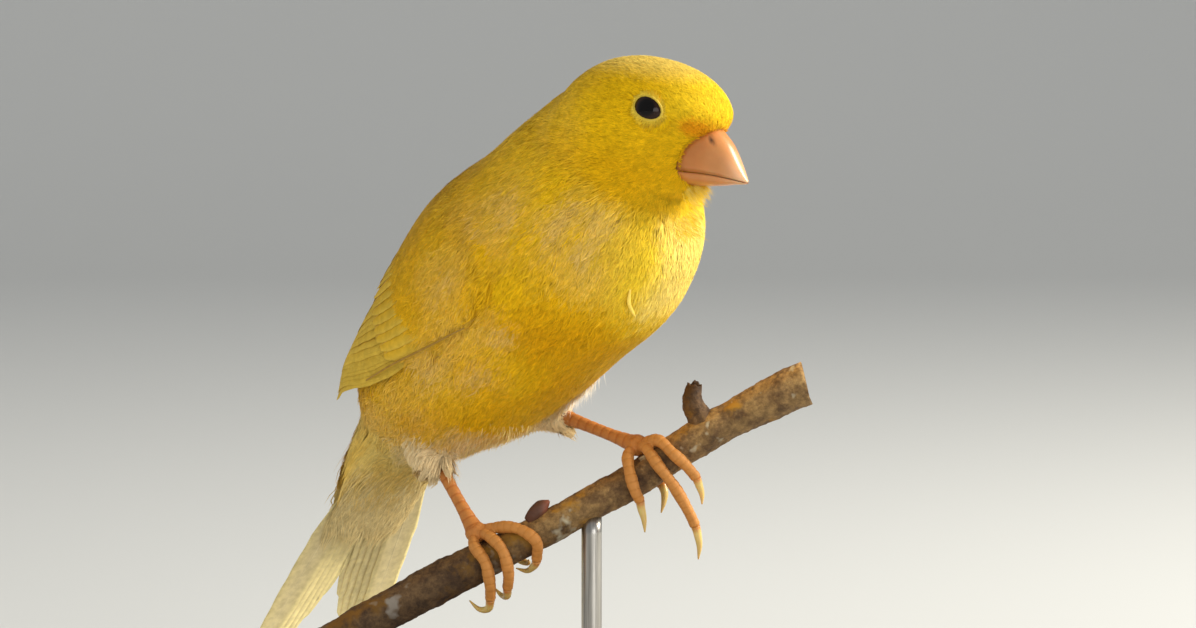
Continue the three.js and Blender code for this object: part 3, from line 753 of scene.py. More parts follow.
def markings(p):
    """The colour of skin and coat by place; each mark is laid over the ones before it."""
    s, angle = trunk_coordinates(p)
    f, left, up = head_coordinates(p)
    on_head = head_share(p)
    on_trunk = 1 - on_head
    above = np.sin(np.radians(angle))
    folded = np.degrees(np.arcsin(np.clip(above, -1, 1)))
    colour = np.tile(GOLD, (len(p), 1))

    def lay(target, weight):
        nonlocal colour
        colour = mix(colour, target, np.clip(weight, 0, 1)[:, None])

    broad = soft_noise(p, 0.13, 3.0)
    fine = soft_noise(p, 0.33, 8.0)
    lay(DEEP_GOLD, on_trunk * (0.45 + 0.5 * broad) * (1 - smooth(s, 14, 26)))
    lay(FROST, on_trunk * smooth(above, -0.1, 0.9) * (0.35 + 0.45 * broad + 0.2 * fine))
    for place, turn, size in PALE_PATCHES:
        away = np.hypot(s - place, np.radians(folded - turn) * 19) / size
        lay(ROSE_FROST, on_trunk * np.exp(-0.7 * away**2) * (0.4 + 0.6 * fine))
    # The pale upper breast: partly pale feathers, partly painted rim light towards the breast's edge
    band = smooth(s, 17, 23) * (1 - smooth(s, 30, 34)) * on_trunk
    lay(CREAM, band * smooth(-above, 0.5, 0.9) * 0.2)
    left_of_keel = 1 - smooth(from_angle(angle, 283), 10, 30)
    lay(PALE_WITH_PAINTED_LIGHT, band * left_of_keel * (0.95 + 0.3 * fine))
    lay(FROST, on_head * smooth(-f, 0, 9) * (0.35 + 0.3 * fine))
    # Painted highlight: bright yellow on the forehead, and below the bill on the throat
    lay(BRIGHT, on_head * smooth(f, 4, 12) * smooth(up, -2, 5) * 0.6)
    lay(BRIGHT, smooth(f, 3, 9) * smooth(-up, 6, 10) * 0.8)
    nasal = np.sqrt(((f - 11.4) / 1.6) ** 2 + ((up - 1.4) / 1.3) ** 2)
    lay(ORANGE, on_head * (1 - smooth(nasal, 0.5, 1.4)) * 0.7)
    # Painted rim light: cream along the top of the crown
    lay(CREAM, on_head * smooth(up, 6.5, 10.0) * 0.7)
    lay(DEEP_GOLD, on_head * smooth(-up, 0, 6) * smooth(-left, -9, 3) * 0.3)
    lay(VENT, smooth(-s, 22, 34) * (0.65 + 0.25 * smooth(-above, -0.2, 0.6) + 0.3 * fine))
    lay(TAIL_GREY, smooth((p - TAIL_ROOT) @ TAIL_ALONG, 1, 9) * 0.7)
    lay(DOWN_SHADE, down_share(p) * (0.6 + 0.5 * fine))
    lay(DOWN_SHADE, leg_share(p, 4.0, 7.5) * 0.85)
    return colour


# Where the feathers grow and which way they lie


def flow(p, n):
    """The way a feather lies: back from the bill on the head, towards the tail on the trunk."""
    bill = head_point(12.5, 0, -2.0)
    from_bill = unit(p - bill)
    s, _ = trunk_coordinates(p)
    rear = mix(-ALONG, TAIL_ALONG, smooth(-s, 24, 40)[:, None])
    share = head_share(p)[:, None]
    way = mix(rear, from_bill, share)
    way = way + 0.25 * share * -ALONG
    for line in LEG_TOPS.values():
        knee, heel, end = to_bird(np.array(line, float))
        leg_way = unit(end - knee)
        near = np.linalg.norm(p - mix(heel, end, 0.3), axis=1)
        way = mix(way, leg_way, (1 - smooth(near, 4.0, 7.5))[:, None])
    return unit(way - n * dot(way, n))


def feather_size(p):
    """Length of a contour feather by place."""
    s, _ = trunk_coordinates(p)
    f, _, _ = head_coordinates(p)
    share = head_share(p)
    on_head = mix(3.4, 1.5, smooth(f, -9, 11))
    on_trunk = mix(6.0, 4.6, smooth(s, 12, 30))
    size = mix(on_trunk, on_head, share)
    return mix(size, 3.8, leg_share(p, 3.5, 7))


def under_wing(p):
    """Where the folded wing covers the trunk, so that no contour feathers grow."""
    s, angle = trunk_coordinates(p)
    up = np.where(angle < -90, angle + 360, angle)
    up = np.where(up > 90, 180 - up, up)
    low = track(WING_EDGE, 1, s)
    inside = (up > low + 6) & (up < mix(72, 58, smooth(s, -10, 8)))
    return inside & (s > -31) & (s < -7)


def in_bill(p, grow):
    """Whether a place is within the bill, grown by so much."""
    f, left, up = head_coordinates(p)
    top, bottom, half = (track(BILL, k, f) for k in (1, 2, 3))
    middle, tall = (top + bottom) / 2, (top - bottom) / 2 + grow
    return (f > BILL[0, 0]) & ((left / (half + grow)) ** 2 + ((up - middle) / tall) ** 2 < 1)


def leg_ends(p, n):
    """The blunt lower ends of the feathered shanks, where nothing grows."""
    blunt = np.zeros(len(p), bool)
    for line in LEG_TOPS.values():
        _, heel, end = to_bird(np.array(line, float))
        blunt |= (np.linalg.norm(p - end, axis=1) < 3.2) & (n @ unit(end - heel) > 0.55)
    return blunt


def root_chance(corners):
    """The chance that a feather grows on each triangle of the skin."""
    middle = corners.mean(1)
    facing = np.cross(corners[:, 1] - corners[:, 0], corners[:, 2] - corners[:, 0])
    chance = np.linalg.norm(facing, axis=1) / feather_size(middle) ** 2
    for side in (-1, 1):
        centre, gaze, _, _ = eye_frame(side)
        d = middle - centre
        rho = np.linalg.norm(d - outer(d @ gaze, gaze), axis=1)
        chance[(rho < 2.4) & (d @ gaze > 0)] = 0
    chance[leg_ends(middle, unit(facing))] = 0
    chance[in_bill(middle, 0.0)] = 0
    chance[under_wing(middle)] = 0
    s, _ = trunk_coordinates(middle)
    chance[(s < RUMP_START - 8) & (leg_share(middle, 6, 9) < 0.5)] = 0
    return chance / chance.sum()


def scatter(count):
    """Roots spread over the skin, closer where the feathers are smaller."""
    corners = skin_points[skin_faces]
    pick = rng.choice(len(corners), count, p=root_chance(corners))
    a, b = rng.random((2, count))
    flip = a + b > 1
    a[flip], b[flip] = 1 - a[flip], 1 - b[flip]
    start, second, third = (corners[pick, k] for k in range(3))
    return thinned(start + a[:, None] * (second - start) + b[:, None] * (third - start))


def thinned(points):
    """Drops each root that lies too close to one before it."""
    spacing = ROOT_SPACING * feather_size(points)
    tree = kd_tree(points)
    kept = []
    gone = np.zeros(len(points), bool)
    for i in range(len(points)):
        if gone[i]:
            continue
        kept.append(i)
        for _, j, _ in tree.find_range(points[i], spacing[i]):
            gone[j] = True
    return points[kept]


def unwrap(p):
    """A place on the unwrapped skin: the trunk on the left, the head on the right."""
    s, angle = trunk_coordinates(p)
    f, left, up = head_coordinates(p)
    round_head = np.degrees(np.arctan2(up + 0.7, left))
    trunk = np.stack([0.04 + 0.5 * (s + 60) / 100, 0.04 + 0.92 * ((angle + 90) % 360) / 360], -1)
    head = np.stack([0.6 + 0.36 * (f + 14) / 29, 0.04 + 0.92 * ((round_head + 90) % 360) / 360], -1)
    return np.where((head_share(p) > 0.5)[:, None], head, trunk)


# Contour feathers

ROWS = 4
COLUMNS = 4
VANE_TRIANGLES = 2 * (ROWS - 1) * (COLUMNS - 1)
BARB_POINTS = 5
BARB_TRIANGLES = 3
# How many roots are tried: over the skin before they are thinned, on the rump and on the wings
ROOT_TRIES = 60000
TAIL_COVERTS = 1000
WING_COVERTS = 1500
# How far the skin may fall away under a feather before its end stands free
OVERHANG = 1.6
# The least distance between two roots, as a share of a feather's length
ROOT_SPACING = 0.18


def coat_depth(p):
    s, _ = trunk_coordinates(p)
    depth = mix(COAT_DEPTH, HEAD_COAT_DEPTH, head_share(p))
    return depth * (1 + 0.3 * smooth(-s, 26, 36))


def feather_shape(t):
    """Half width along a contour feather, from root to rounded tip."""
    return np.where(t < 0.55, 0.45 + t, np.sqrt(np.maximum(1 - ((t - 0.55) / 0.46) ** 2, 0.02)))


def overhanging(reach):
    """Lays feathers on the skin, and lets their ends stand free where it turns away."""
    ground, up = nearest(reach)
    for k in range(1, ROWS):
        free = np.linalg.norm(reach[:, k] - ground[:, k], axis=1) > OVERHANG
        step = reach[:, k] - reach[:, k - 1]
        ground[free, k] = ground[free, k - 1] + step[free]
        up[free, k] = up[free, k - 1]
    return ground, up


class Coat:
    """Contour feathers over the skin: a thin low vane, and loose barbs lying over it."""

    fine = 0.72
    shade = (0.74, 0.94)

    def __init__(self, roots, length, width, low, high, fluff, colour):
        n = len(roots)
        self.roots, self.normal = nearest(roots)
        way = flow(self.roots, self.normal)
        side = np.cross(self.normal, way)
        way = unit(way + side * rng.normal(0, 0.12, n)[:, None])
        self.length = length * rng.uniform(0.82, 1.18, n)
        self.half = width / 2 * rng.uniform(0.85, 1.15, n)
        t = np.linspace(0, 1, ROWS)
        reach = self.roots[:, None] + way[:, None] * (self.length[:, None] * t)[..., None]
        self.ground, self.up = overhanging(reach)
        self.side = unit(np.cross(self.up, unit(np.gradient(self.ground, axis=1))))
        self.low = low * np.ones(n)
        self.rise = (high - low) * np.ones(n)
        self.fluff = fluff
        self.colour = colour * rng.uniform(0.93, 1.07, n)[:, None]
        self.uv = unwrap(self.roots)

    def at(self, t, u, height):
        """Points over each feather at t along, u across and a height; each is (n, k)."""
        x = np.clip(t, 0, 1.0) * (ROWS - 1)
        i = np.clip(x.astype(int), 0, ROWS - 2)
        w = (x - i)[..., None]
        rows = np.arange(len(self.ground))[:, None]
        ground = mix(self.ground[rows, i], self.ground[rows, i + 1], w)
        up = unit(mix(self.up[rows, i], self.up[rows, i + 1], w))
        side = unit(mix(self.side[rows, i], self.side[rows, i + 1], w))
        over = np.maximum(t - 1, 0)[..., None] * self.length[:, None, None]
        ground = ground + over * np.cross(side, up)
        wide = self.half[:, None] * feather_shape(np.clip(t, 0, 1)) * u
        return ground + side * wide[..., None] + up * height[..., None], up, side

    def vanes(self):
        """A low curved sheet for each feather."""
        n = len(self.ground)
        t, u = np.meshgrid(np.linspace(0, 0.95, ROWS), np.linspace(-1, 1, COLUMNS), indexing="ij")
        t = np.tile(t.ravel(), (n, 1))
        u = np.tile(u.ravel(), (n, 1))
        height = self.low[:, None] + self.rise[:, None] * (0.1 + 0.5 * t - 0.1 * u**2)
        points, up, side = self.at(t, u, height)
        normals = up + side * (0.15 * u)[..., None]
        colour = self.colour[:, None] * mix(*self.shade, t)[..., None]
        uv = self.uv[:, None] + PATCH * np.stack([t * 2 - 1, u], -1)
        k = np.arange(ROWS * COLUMNS).reshape(ROWS, COLUMNS)
        a, b, c, d = k[:-1, :-1], k[:-1, 1:], k[1:, 1:], k[1:, :-1]
        quad = np.stack([a, c, b, a, d, c], -1).reshape(-1, 3)
        faces = repeated(quad, n, ROWS * COLUMNS)
        return *flat_rows(points, normals, colour, uv), faces

    def barbs(self, k):
        """k barbs over each feather, each a strip of three triangles."""
        n = len(self.ground)
        t0 = rng.uniform(0.0, 0.75, (n, k))
        t2 = t0 + rng.uniform(0.32, 0.55, (n, k))
        u0 = rng.uniform(-0.9, 0.9, (n, k))
        u2 = u0 + rng.normal(0, 0.28, (n, k))
        u1 = (u0 + u2) / 2 + rng.normal(0, 0.06, (n, k))
        low, rise = self.low[:, None], self.rise[:, None]
        fluff = self.fluff[:, None] * rng.uniform(0.0, 1.0, (n, k)) ** 2
        h0 = low + rise * rng.uniform(0.25, 0.7, (n, k))
        h2 = low + rise * rng.uniform(0.7, 1.0, (n, k)) + fluff
        h1 = (h0 + h2) / 2 + rise * 0.12
        a, up, _ = self.at(t0, u0, h0)
        b, _, _ = self.at((t0 + t2) / 2, u1, h1)
        c, _, _ = self.at(np.minimum(t2, 1.2), u2, h2)
        width = self.fine * (0.035 + 0.014 * self.length[:, None]) * rng.uniform(0.7, 1.3, (n, k))
        wide = unit(np.cross(up, c - a)) * width[..., None]
        shape = np.stack([a - 0.8 * wide, a + 0.8 * wide, b - wide, b + wide, c], 2)
        tilt = 0.4 * unit(wide)
        normals = np.stack([up - tilt, up + tilt, up - tilt, up + tilt, up], 2)
        tone = rng.uniform(0.84, 1.14, (n, k, 1, 1))
        fade = np.array([0.9, 0.9, 1.0, 1.0, 1.1])[:, None]
        colour = np.broadcast_to(self.colour[:, None, None] * tone * fade, shape.shape)
        offset = PATCH * np.stack([t0 * 2 - 1, u0], -1)[:, :, None]
        uv = np.broadcast_to(self.uv[:, None, None] + offset, shape.shape[:3] + (2,))
        strip = np.array([[0, 3, 1], [0, 2, 3], [2, 4, 3]])
        faces = repeated(strip, n * k, BARB_POINTS)
        return *flat_rows(shape, normals, colour, uv), faces


# The rump's surface: where it starts along the body, and its points along and round
RUMP_START = -20
RUMP_ROWS = 90
RUMP_COLUMNS = 73


def rump_grid():
    """Points of one smooth surface from the rump onto the tail, by distance and angle."""
    turn = np.linspace(-90, 270, RUMP_COLUMNS)
    a = np.radians(turn)
    rings = [trunk_point(s, turn) for s in np.linspace(RUMP_START, -36, 7)]
    for out, half, depth in COVERTS:
        rings.append(tail_point(out, half * np.cos(a), depth * np.sin(a)))
    rings = np.array(rings)
    steps = np.linalg.norm(np.diff(rings.mean(1), axis=0), axis=1)
    knots = np.concatenate([[0], np.cumsum(steps)])
    table = np.concatenate([knots[:, None], rings.reshape(len(rings), -1)], 1)
    reach = np.linspace(0, knots[-1], RUMP_ROWS)
    columns = [track(table, k, reach) for k in range(1, table.shape[1])]
    return np.stack(columns, -1).reshape(RUMP_ROWS, RUMP_COLUMNS, 3), knots[-1]


RUMP, RUMP_LENGTH = rump_grid()


def rump_place(along, angle):
    """Points on the rump's surface."""
    x = np.clip(along / RUMP_LENGTH, 0, 0.999) * (RUMP_ROWS - 1)
    y = ((angle + 90) % 360) / 360 * (RUMP_COLUMNS - 1)
    i, j = x.astype(int), np.minimum(y.astype(int), RUMP_COLUMNS - 2)
    u, v = (x - i)[..., None], (y - j)[..., None]
    return mix(mix(RUMP[i, j], RUMP[i + 1, j], u), mix(RUMP[i, j + 1], RUMP[i + 1, j + 1], u), v)


class Coverts(Coat):
    """Long soft feathers from the rump onto the tail, laid along one smooth surface."""

    fine = 0.5
    shade = (0.86, 1.0)

    def __init__(self, along, angle, length, colour):
        n = len(along)
        self.roots = rump_place(along, angle)
        t = np.linspace(0, 1, ROWS)
        self.length = length * rng.uniform(0.85, 1.15, n)
        edge = smooth(np.abs(np.cos(np.radians(angle))), 0.5, 1.0)
        self.half = 0.26 * self.length * (1 - 0.8 * edge * smooth(along, 0, 9))
        w = along[:, None] + self.length[:, None] * t
        turn = angle[:, None] + rng.normal(0, 2.5, n)[:, None] * t
        self.ground = rump_place(w, turn)
        ahead = rump_place(w + 0.5, turn) - rump_place(w - 0.5, turn)
        round_it = rump_place(w, turn + 4) - rump_place(w, turn - 4)
        self.up = unit(np.cross(ahead, round_it))
        flat = smooth(w, 20, 32)[..., None]
        face = np.sign(dot(self.up, TAIL_BACK)) * TAIL_BACK
        self.up = unit(mix(self.up, face, 0.8 * flat))
        self.side = unit(np.cross(self.up, unit(ahead)))
        self.low = np.full(n, -0.8)
        self.rise = np.full(n, 0.75)
        self.fluff = np.zeros(n)
        self.colour = colour * rng.uniform(0.96, 1.04, n)[:, None]
        self.uv = unwrap(self.roots)


def grow_coverts():
    count = TAIL_COVERTS
    along = rng.uniform(3, 29, count)
    angle = rng.uniform(-90, 270, count)
    edge = np.abs(np.cos(np.radians(angle)))
    limit = np.where(np.sin(np.radians(angle)) > 0, 0.6, 0.8)
    kept = edge < mix(1.01, limit, smooth(along, 15, 26))
    along, angle = along[kept], angle[kept]
    length = mix(7.0, 10.5, smooth(along, 6, 24))
    colour = markings(rump_place(along + 3, angle))
    coat_objects("tail_coverts", Coverts(along, angle, length, colour), 44)


def coat_objects(name, coat, barbs):
    """Makes the pieces of a coat, each under the limit of triangles."""
    groups = (
        ("vanes", coat.vanes(), VANE_TRIANGLES, ROWS * COLUMNS),
        ("barbs", coat.barbs(barbs), BARB_TRIANGLES, BARB_POINTS),
    )
    for label, (points, normals, colour, uv, faces), triangles, corners in groups:
        limit = PIECE_LIMIT // triangles
        items = len(faces) // triangles
        for k, start in enumerate(range(0, items, limit)):
            stop = min(items, start + limit)
            rows = slice(start * corners, stop * corners)
            item = make_object(
                f"{name}_{label}_{k + 1}",
                to_part(points[rows]),
                faces[start * triangles : stop * triangles] - start * corners,
                PLUMAGE,
                colour[rows],
                uv[rows],
                turned(normals[rows]),
            )
            finished(item, "plumage")


def show_skin():
    colour = markings(skin_points) * 0.8
    place = unwrap(skin_points)
    skin = make_object("skin", to_part(skin_points), skin_faces, PLUMAGE, colour, place)
    finished(skin, "plumage", "head", "neck", "torso", "rump", "leg_left", "leg_right")


def grow_coat():
    roots = scatter(ROOT_TRIES)
    size = feather_size(roots)
    share = head_share(roots)
    s, _ = trunk_coordinates(roots)
    fluff = mix(0.05 + 0.15 * smooth(-s, 10, 20), 0.04, share)
    fluff = fluff + 0.6 * leg_share(roots, 4, 7) + 0.9 * down_share(roots)
    f, _, up = head_coordinates(roots)
    fluff += 0.35 * share * smooth(f, 4, 9) * smooth(-up, 6.5, 9)
    depth = coat_depth(roots)
    colour = markings(roots)
    for name, pick, barbs in (("body", share < 0.5, 42), ("head", share >= 0.5, 17)):
        length = size[pick]
        coat = Coat(roots[pick], length, length * 0.55, 0.06, depth[pick], fluff[pick], colour[pick])
        coat_objects(f"{name}_coat", coat, barbs)


def grow_wing_coverts():
    """Soft small coverts over the front of each wing, standing over the greater coverts."""
    count = WING_COVERTS
    s = rng.uniform(-7, 17, count)
    low = track(WING_EDGE, 1, s)
    angle = mix(low + 3, 74, rng.random(count))
    right = rng.random(count) < 0.5
    angle = np.where(right, 180 - angle, angle)
    roots = trunk_point(s, angle, -COAT_DEPTH)
    raised = 1 - smooth(s, 6, 17)
    length = np.full(count, 5.6)
    low, high, fluff = 0.75 * raised, 0.95 + 0.75 * raised, 0.05 * raised
    coat = Coat(roots, length, length * 0.6, low, high, fluff, markings(roots))
    coat_objects("wing_coverts", coat, 40)


show_skin()
grow_coat()
grow_coverts()
grow_wing_coverts()


# Flight and tail feathers: a shaft and a vane of grid points with a few splits

BLADE_ROWS = 19
BLADE_U = np.array([-1, -0.72, -0.42, -0.14, 0.14, 0.42, 0.72, 1])


def blade(
    line, width, colour, edge_colour, thickness=0.14, roll=0.0, lean=0.0, point=0.0, camber=0.1
):
    """One long feather. line(t) gives points, outward normals and sides for an array t."""
    t = np.linspace(0, 1, BLADE_ROWS) ** 0.85
    points, normal, side = line(t)
    tip = np.sqrt(np.maximum(1 - t ** (5 - 2 * point), 0.0))
    half = width / 2 * np.minimum(1, 0.45 + 2.2 * t) * np.maximum(tip, 0.03)
    u = BLADE_U[None] + lean * (1 - BLADE_U[None] ** 2)
    wave = 0.03 * np.sin(t * 40 + rng.uniform(0, 6))[:, None] * np.abs(u) ** 2
    across = (half[:, None] * (u + wave))[..., None] * side[:, None]
    raised = (camber * half[:, None] * (1 - u**2) - roll * u)[..., None] * normal[:, None]
    upper = points[:, None] + across + raised
    thick = (thickness * (1 - 0.8 * np.abs(u) ** 1.5) * (1 - 0.6 * t[:, None]))[..., None]
    lower = upper - thick * normal[:, None]
    ring = np.concatenate([upper, lower[:, ::-1]], 1)
    shape, faces = loft(ring)
    amount = np.concatenate([np.abs(u), np.abs(u)[:, ::-1]], 1) ** 2
    amount = np.broadcast_to(amount, ring.shape[:2])
    paint = mix(colour, edge_colour, amount[..., None])
    shade = mix(0.8, 1.05, t)[:, None, None]
    paint = (paint * shade * rng.uniform(0.93, 1.07)).reshape(-1, 3)
    paint = np.concatenate([paint, paint[:1], paint[-1:]])
    return shape, faces, paint, shaft(points + camber * half[:, None] * normal, normal, side, width)


def shaft(points, normal, side, width):
    """The raised midrib, a thin tapering ridge along a feather."""
    t = np.linspace(0, 1, len(points))
    radius = np.clip(0.02 * width * (1.1 - t), 0.02, 0.2)
    turn = turns(6)
    rings = (
        points[:, None]
        + (radius[:, None] * np.cos(turn))[..., None] * side[:, None]
        + (radius[:, None] * np.sin(turn))[..., None] * normal[:, None]
    )
    return loft(rings[:-1])


class Plumes:
    """Collects long feathers into one object."""

    def __init__(self):
        self.parts, self.paint, self.uv = [], [], []

    def add(self, line, width, colour, edge, root_uv, **more):
        shape, faces, paint, rib = blade(line, width, colour, edge, **more)
        self.parts += [(shape, faces), rib]
        self.paint += [paint, np.tile(mix(colour, DOWN, 0.25) * 0.95, (len(rib[0]), 1))]
        total = len(shape) + len(rib[0])
        self.uv.append(root_uv + rng.uniform(-PATCH, PATCH, (total, 2)))

    def build(self, name, slot, *replaced):
        points, faces = gather(self.parts)
        item = make_object(
            name, to_part(points), faces, FLIGHT, np.concatenate(self.paint), np.concatenate(self.uv)
        )
        return finished(item, slot, *replaced)


def trunk_line(side, root, via, tip):
    """A feather's line over the trunk through three (distance, angle, lift) places."""
    keys = np.array([root, via, tip], float)

    def place(p):
        return trunk_point(p[:, 0], opposite(p[:, 1], side), p[:, 2])

    def curve(t):
        spans = np.linalg.norm(np.diff(keys, axis=0), axis=1) ** 0.5
        knots = np.concatenate([[0], np.cumsum(spans)]) / spans.sum()
        return np.stack([track(np.stack([knots, keys[:, k]], 1), 1, t) for k in range(3)], -1)

    def line(t):
        p = curve(t)
        along = unit(place(curve(np.minimum(t + 0.02, 1))) - place(curve(np.maximum(t - 0.02, 0))))
        across = place(p + np.array([0, 3, 0])) - place(p)
        across = unit(across - along * dot(along, across))
        normal = np.cross(along, across) * side
        return place(p), normal, across

    return line


WING_YELLOW = srgb(224, 176, 32)
WING_DUSK = srgb(208, 170, 62)
WING_EDGE_PALE = srgb(224, 188, 72)
# Painted shadow: the brown of the thin strip along the wing's lower edge
WING_SHADOW_BROWN = srgb(166, 120, 36)

# Rows of wing feathers, each from its outermost feather to its innermost. A place is
# (distance along the body, angle, height over the trunk)
WING_ROWS = [
    {
        "count": 9,
        "width": 5.2,
        "roll": 0.16,
        "first": [(0, -11, -0.5), (-17, -1, 0.2), (-34.5, 38, 4.2)],
        "last": [(-5, 3, -0.4), (-14, 16, 0.0), (-30, 53, 2.4)],
    },
    {
        "count": 7,
        "width": 6.2,
        "roll": 0.2,
        "first": [(-5, 8, -0.4), (-13, 20, 0.1), (-26.5, 48, 1.6)],
        "last": [(-6, 42, -0.4), (-13, 52, 0.2), (-23, 66, 1.1)],
    },
    {
        "count": 3,
        "width": 6.4,
        "roll": 0.2,
        "first": [(-6, 48, -0.3), (-12, 57, 0.3), (-20, 69, 0.9)],
        "last": [(-3, 60, -0.3), (-8, 68, 0.4), (-14, 76, 0.9)],
    },
    {
        "count": 13,
        "width": 4.4,
        "roll": 0.16,
        "first": [(-2, -12, -0.2), (-8, -8, 0.35), (-15.5, 0, 0.9)],
        "last": [(-3, 57, -0.2), (-7, 62, 0.45), (-12, 68, 1.1)],
    },
]
# A thin brown strip along the outermost primary's edge, where it shows through the flank: painted
# shadow between the wing's lower edge and the flank
WING_SHADOW_LINE = [(1, -25, 1.1), (-10, -14, 1.6), (-25, 4, 1.4)]


def root_patch(side, place):
    """Where a feather that grows at a place on the trunk lies on the unwrapped skin."""
    return unwrap(trunk_point(place[0], opposite(place[1], side))[None])[0]


def build_wing(name, side):
    plumes = Plumes()
    for level, row in enumerate(WING_ROWS):
        first = np.array(row["first"], float)
        last = np.array(row["last"], float)
        for i in range(row["count"]):
            t = i / (row["count"] - 1)
            keys = mix(first, last, t)
            keys[:, 0] += rng.normal(0, 0.25, 3)
            keys[:, 1] += rng.normal(0, 0.5)
            base = mix(WING_DUSK, WING_YELLOW, 0.3 + 0.13 * level)
            line, root = trunk_line(side, *keys), root_patch(side, keys[0])
            plumes.add(line, row["width"], base, WING_EDGE_PALE, root, roll=row["roll"], lean=-0.12)
    line, root = trunk_line(side, *WING_SHADOW_LINE), root_patch(side, WING_SHADOW_LINE[0])
    plumes.add(line, 0.5, WING_SHADOW_BROWN, WING_DUSK, root, roll=0.05, point=0.9)
    return plumes.build(f"{name}_feathers", "wing", name)


build_wing("wing_left", 1)
build_wing("wing_right", -1)

# Tail feathers: how many on a side, the innermost one's length, and where they start
RECTRICES = 6
RECTRIX_LENGTH = 24.5
TAIL_START = 11.3
TAIL_SHIFT = 0.9


def build_tail():
    plumes = Plumes()
    start = TAIL_START
    for side in (-1, 1):
        for i in range(RECTRICES):
            splay = math.radians(2.8 + 0.84 * i)
            length = RECTRIX_LENGTH + 4.6 * i - 0.3 * i**2 + rng.normal(0, 0.15)
            rise = 0.34 - 0.14 * i
            root_side = 1.2 + 0.95 * i

            def line(t):
                out = start - 3 + (length * math.cos(splay) + 3) * t
                across = side * (root_side + length * math.sin(splay) * t) + TAIL_SHIFT * (1 - t)
                points = tail_point(out, across, rise + 1.1 * t * (1 - t))
                return points, np.tile(TAIL_BACK, (len(t), 1)), np.tile(TAIL_LEFT, (len(t), 1))

            plumes.add(
                line, 5.8, TAIL_GREY, TAIL_EDGE, np.array([0.05 + 0.01 * i, 0.5 + 0.1 * side]),
                thickness=0.07, lean=0.2 * side, point=0.6, camber=0.03,
            )
    return plumes.build("tail_feathers", "tail", "tail")


build_tail()


def loose_feather():
    """One small pale feather that stands away from the breast."""
    plumes = Plumes()
    line = trunk_line(1, (21.4, 249, -0.1), (19.6, 251.5, 0.5), (17.7, 258.5, 0.9))
    pale = mix(GOLD, CREAM, 0.55)
    plumes.add(line, 0.6, pale, pale, unwrap(trunk_point(20, 252)[None])[0], point=0.9)
    plumes.build("loose_feather", "plumage")


loose_feather()


# Eyes, lids and bill


def painted(name, roughness, scale=600, strength=0.15, depth=0.0001, **sockets):
    """A material that shows the paint colours with a fine bump."""
    made = material(name, roughness, **sockets)
    paint = painted_colour(made)
    grain = noise_texture(made, scale, 3, object_position(made))
    shade = ramp(made, grain, [(0.3, (0.9, 0.89, 0.88)), (0.7, (1.06, 1.06, 1.06))])
    set_colour(made, blend_colour(made, paint, shade, 1.0, "MULTIPLY"))
    bump(made, grain, strength, depth)
    return made


EYE_LOOK = material("eye", 0.1, IOR=1.4, Specular_IOR_Level=0.3)
LID_SKIN = painted("lid_skin", 0.6)
HORN = painted("horn", 0.34, 300, 0.12, Subsurface_Weight=0.25, Subsurface_Scale=0.001)
LEG_SKIN = painted("leg_skin", 0.55, 900, 0.2, Specular_IOR_Level=0.25)
CLAW_HORN = painted("claw_horn", 0.3, 400, 0.1, Subsurface_Weight=0.2, Subsurface_Scale=0.0008)

PUPIL = srgb(9, 6, 5)
IRIS = srgb(38, 20, 11)


def build_eyes():
    set_colour(EYE_LOOK, painted_colour(EYE_LOOK))
    for name, side in (("left", 1), ("right", -1)):
        centre, gaze, across, up = eye_frame(side)
        polar = np.linspace(0, np.pi, 41)
        turn = turns(48)
        radius = EYE_RADIUS * (1 + 0.02 * np.exp(-((polar / 0.6) ** 2)))
        circle = np.cos(turn)[:, None] * across + np.sin(turn)[:, None] * up
        rings = (
            centre
            + (radius * np.cos(polar))[:, None, None] * gaze
            + (radius * np.sin(polar))[:, None, None] * circle
        )
        points, faces = loft(rings[1:-1])
        d = unit(points - centre) @ gaze
        rho = np.sqrt(np.maximum(1 - d**2, 0))
        ring = (smooth(rho, 0.42, 0.5) * (1 - smooth(rho, 0.7, 0.85)))[:, None]
        colour = mix(PUPIL, IRIS, ring)
        item = make_object(f"eyeball_{name}", to_part(points), faces, EYE_LOOK, colour)
        finished(item, "eye", f"eye_{name}")


BRISTLES = 420
FIRST_WHISKER = 376
BRISTLE_FACES = np.array([[0, 2, 1], [0, 3, 2], [3, 4, 2]])
TUFT_FACES = np.array([[0, 2, 3], [0, 3, 1], [2, 4, 5], [2, 5, 3], [4, 6, 5]])
# How many tips hang at the chin and as many at the throat, at the belly and over the left leg
BEARD_TUFTS = 700
VENT_TUFTS = 520
THIGH_TUFTS = 500
THIGH_LINE = [(1.2, 5.5, 60.2), (-3.5, 8.0, 55.4)]
TUFT_PATCH = 0.003 * np.array([[0, 0], [1, 0], [0, 0.4], [1, 0.4], [0, 0.7], [1, 0.7], [0.5, 1]])
LID_COLOUR = srgb(236, 202, 62)
LID_LONG = 2.24
LID_SHORT = 1.62
LID_SLANT = math.radians(-16)
LID_FEATHERS = 90
# Rings of lid feathers: distance out from the opening, length, share of gold
LID_ROWS = [(0.12, 0.7, 0.0), (0.35, 0.8, 0.2), (0.6, 0.9, 0.5), (0.9, 1.0, 0.8), (1.2, 1.0, 1.0)]


def bristle(root, bend, tip, side, narrowing=1.0):
    """A small pointed feather of three triangles."""
    far = narrowing * side
    return np.array([root - side, root + side, bend + far, bend - far, tip]), BRISTLE_FACES


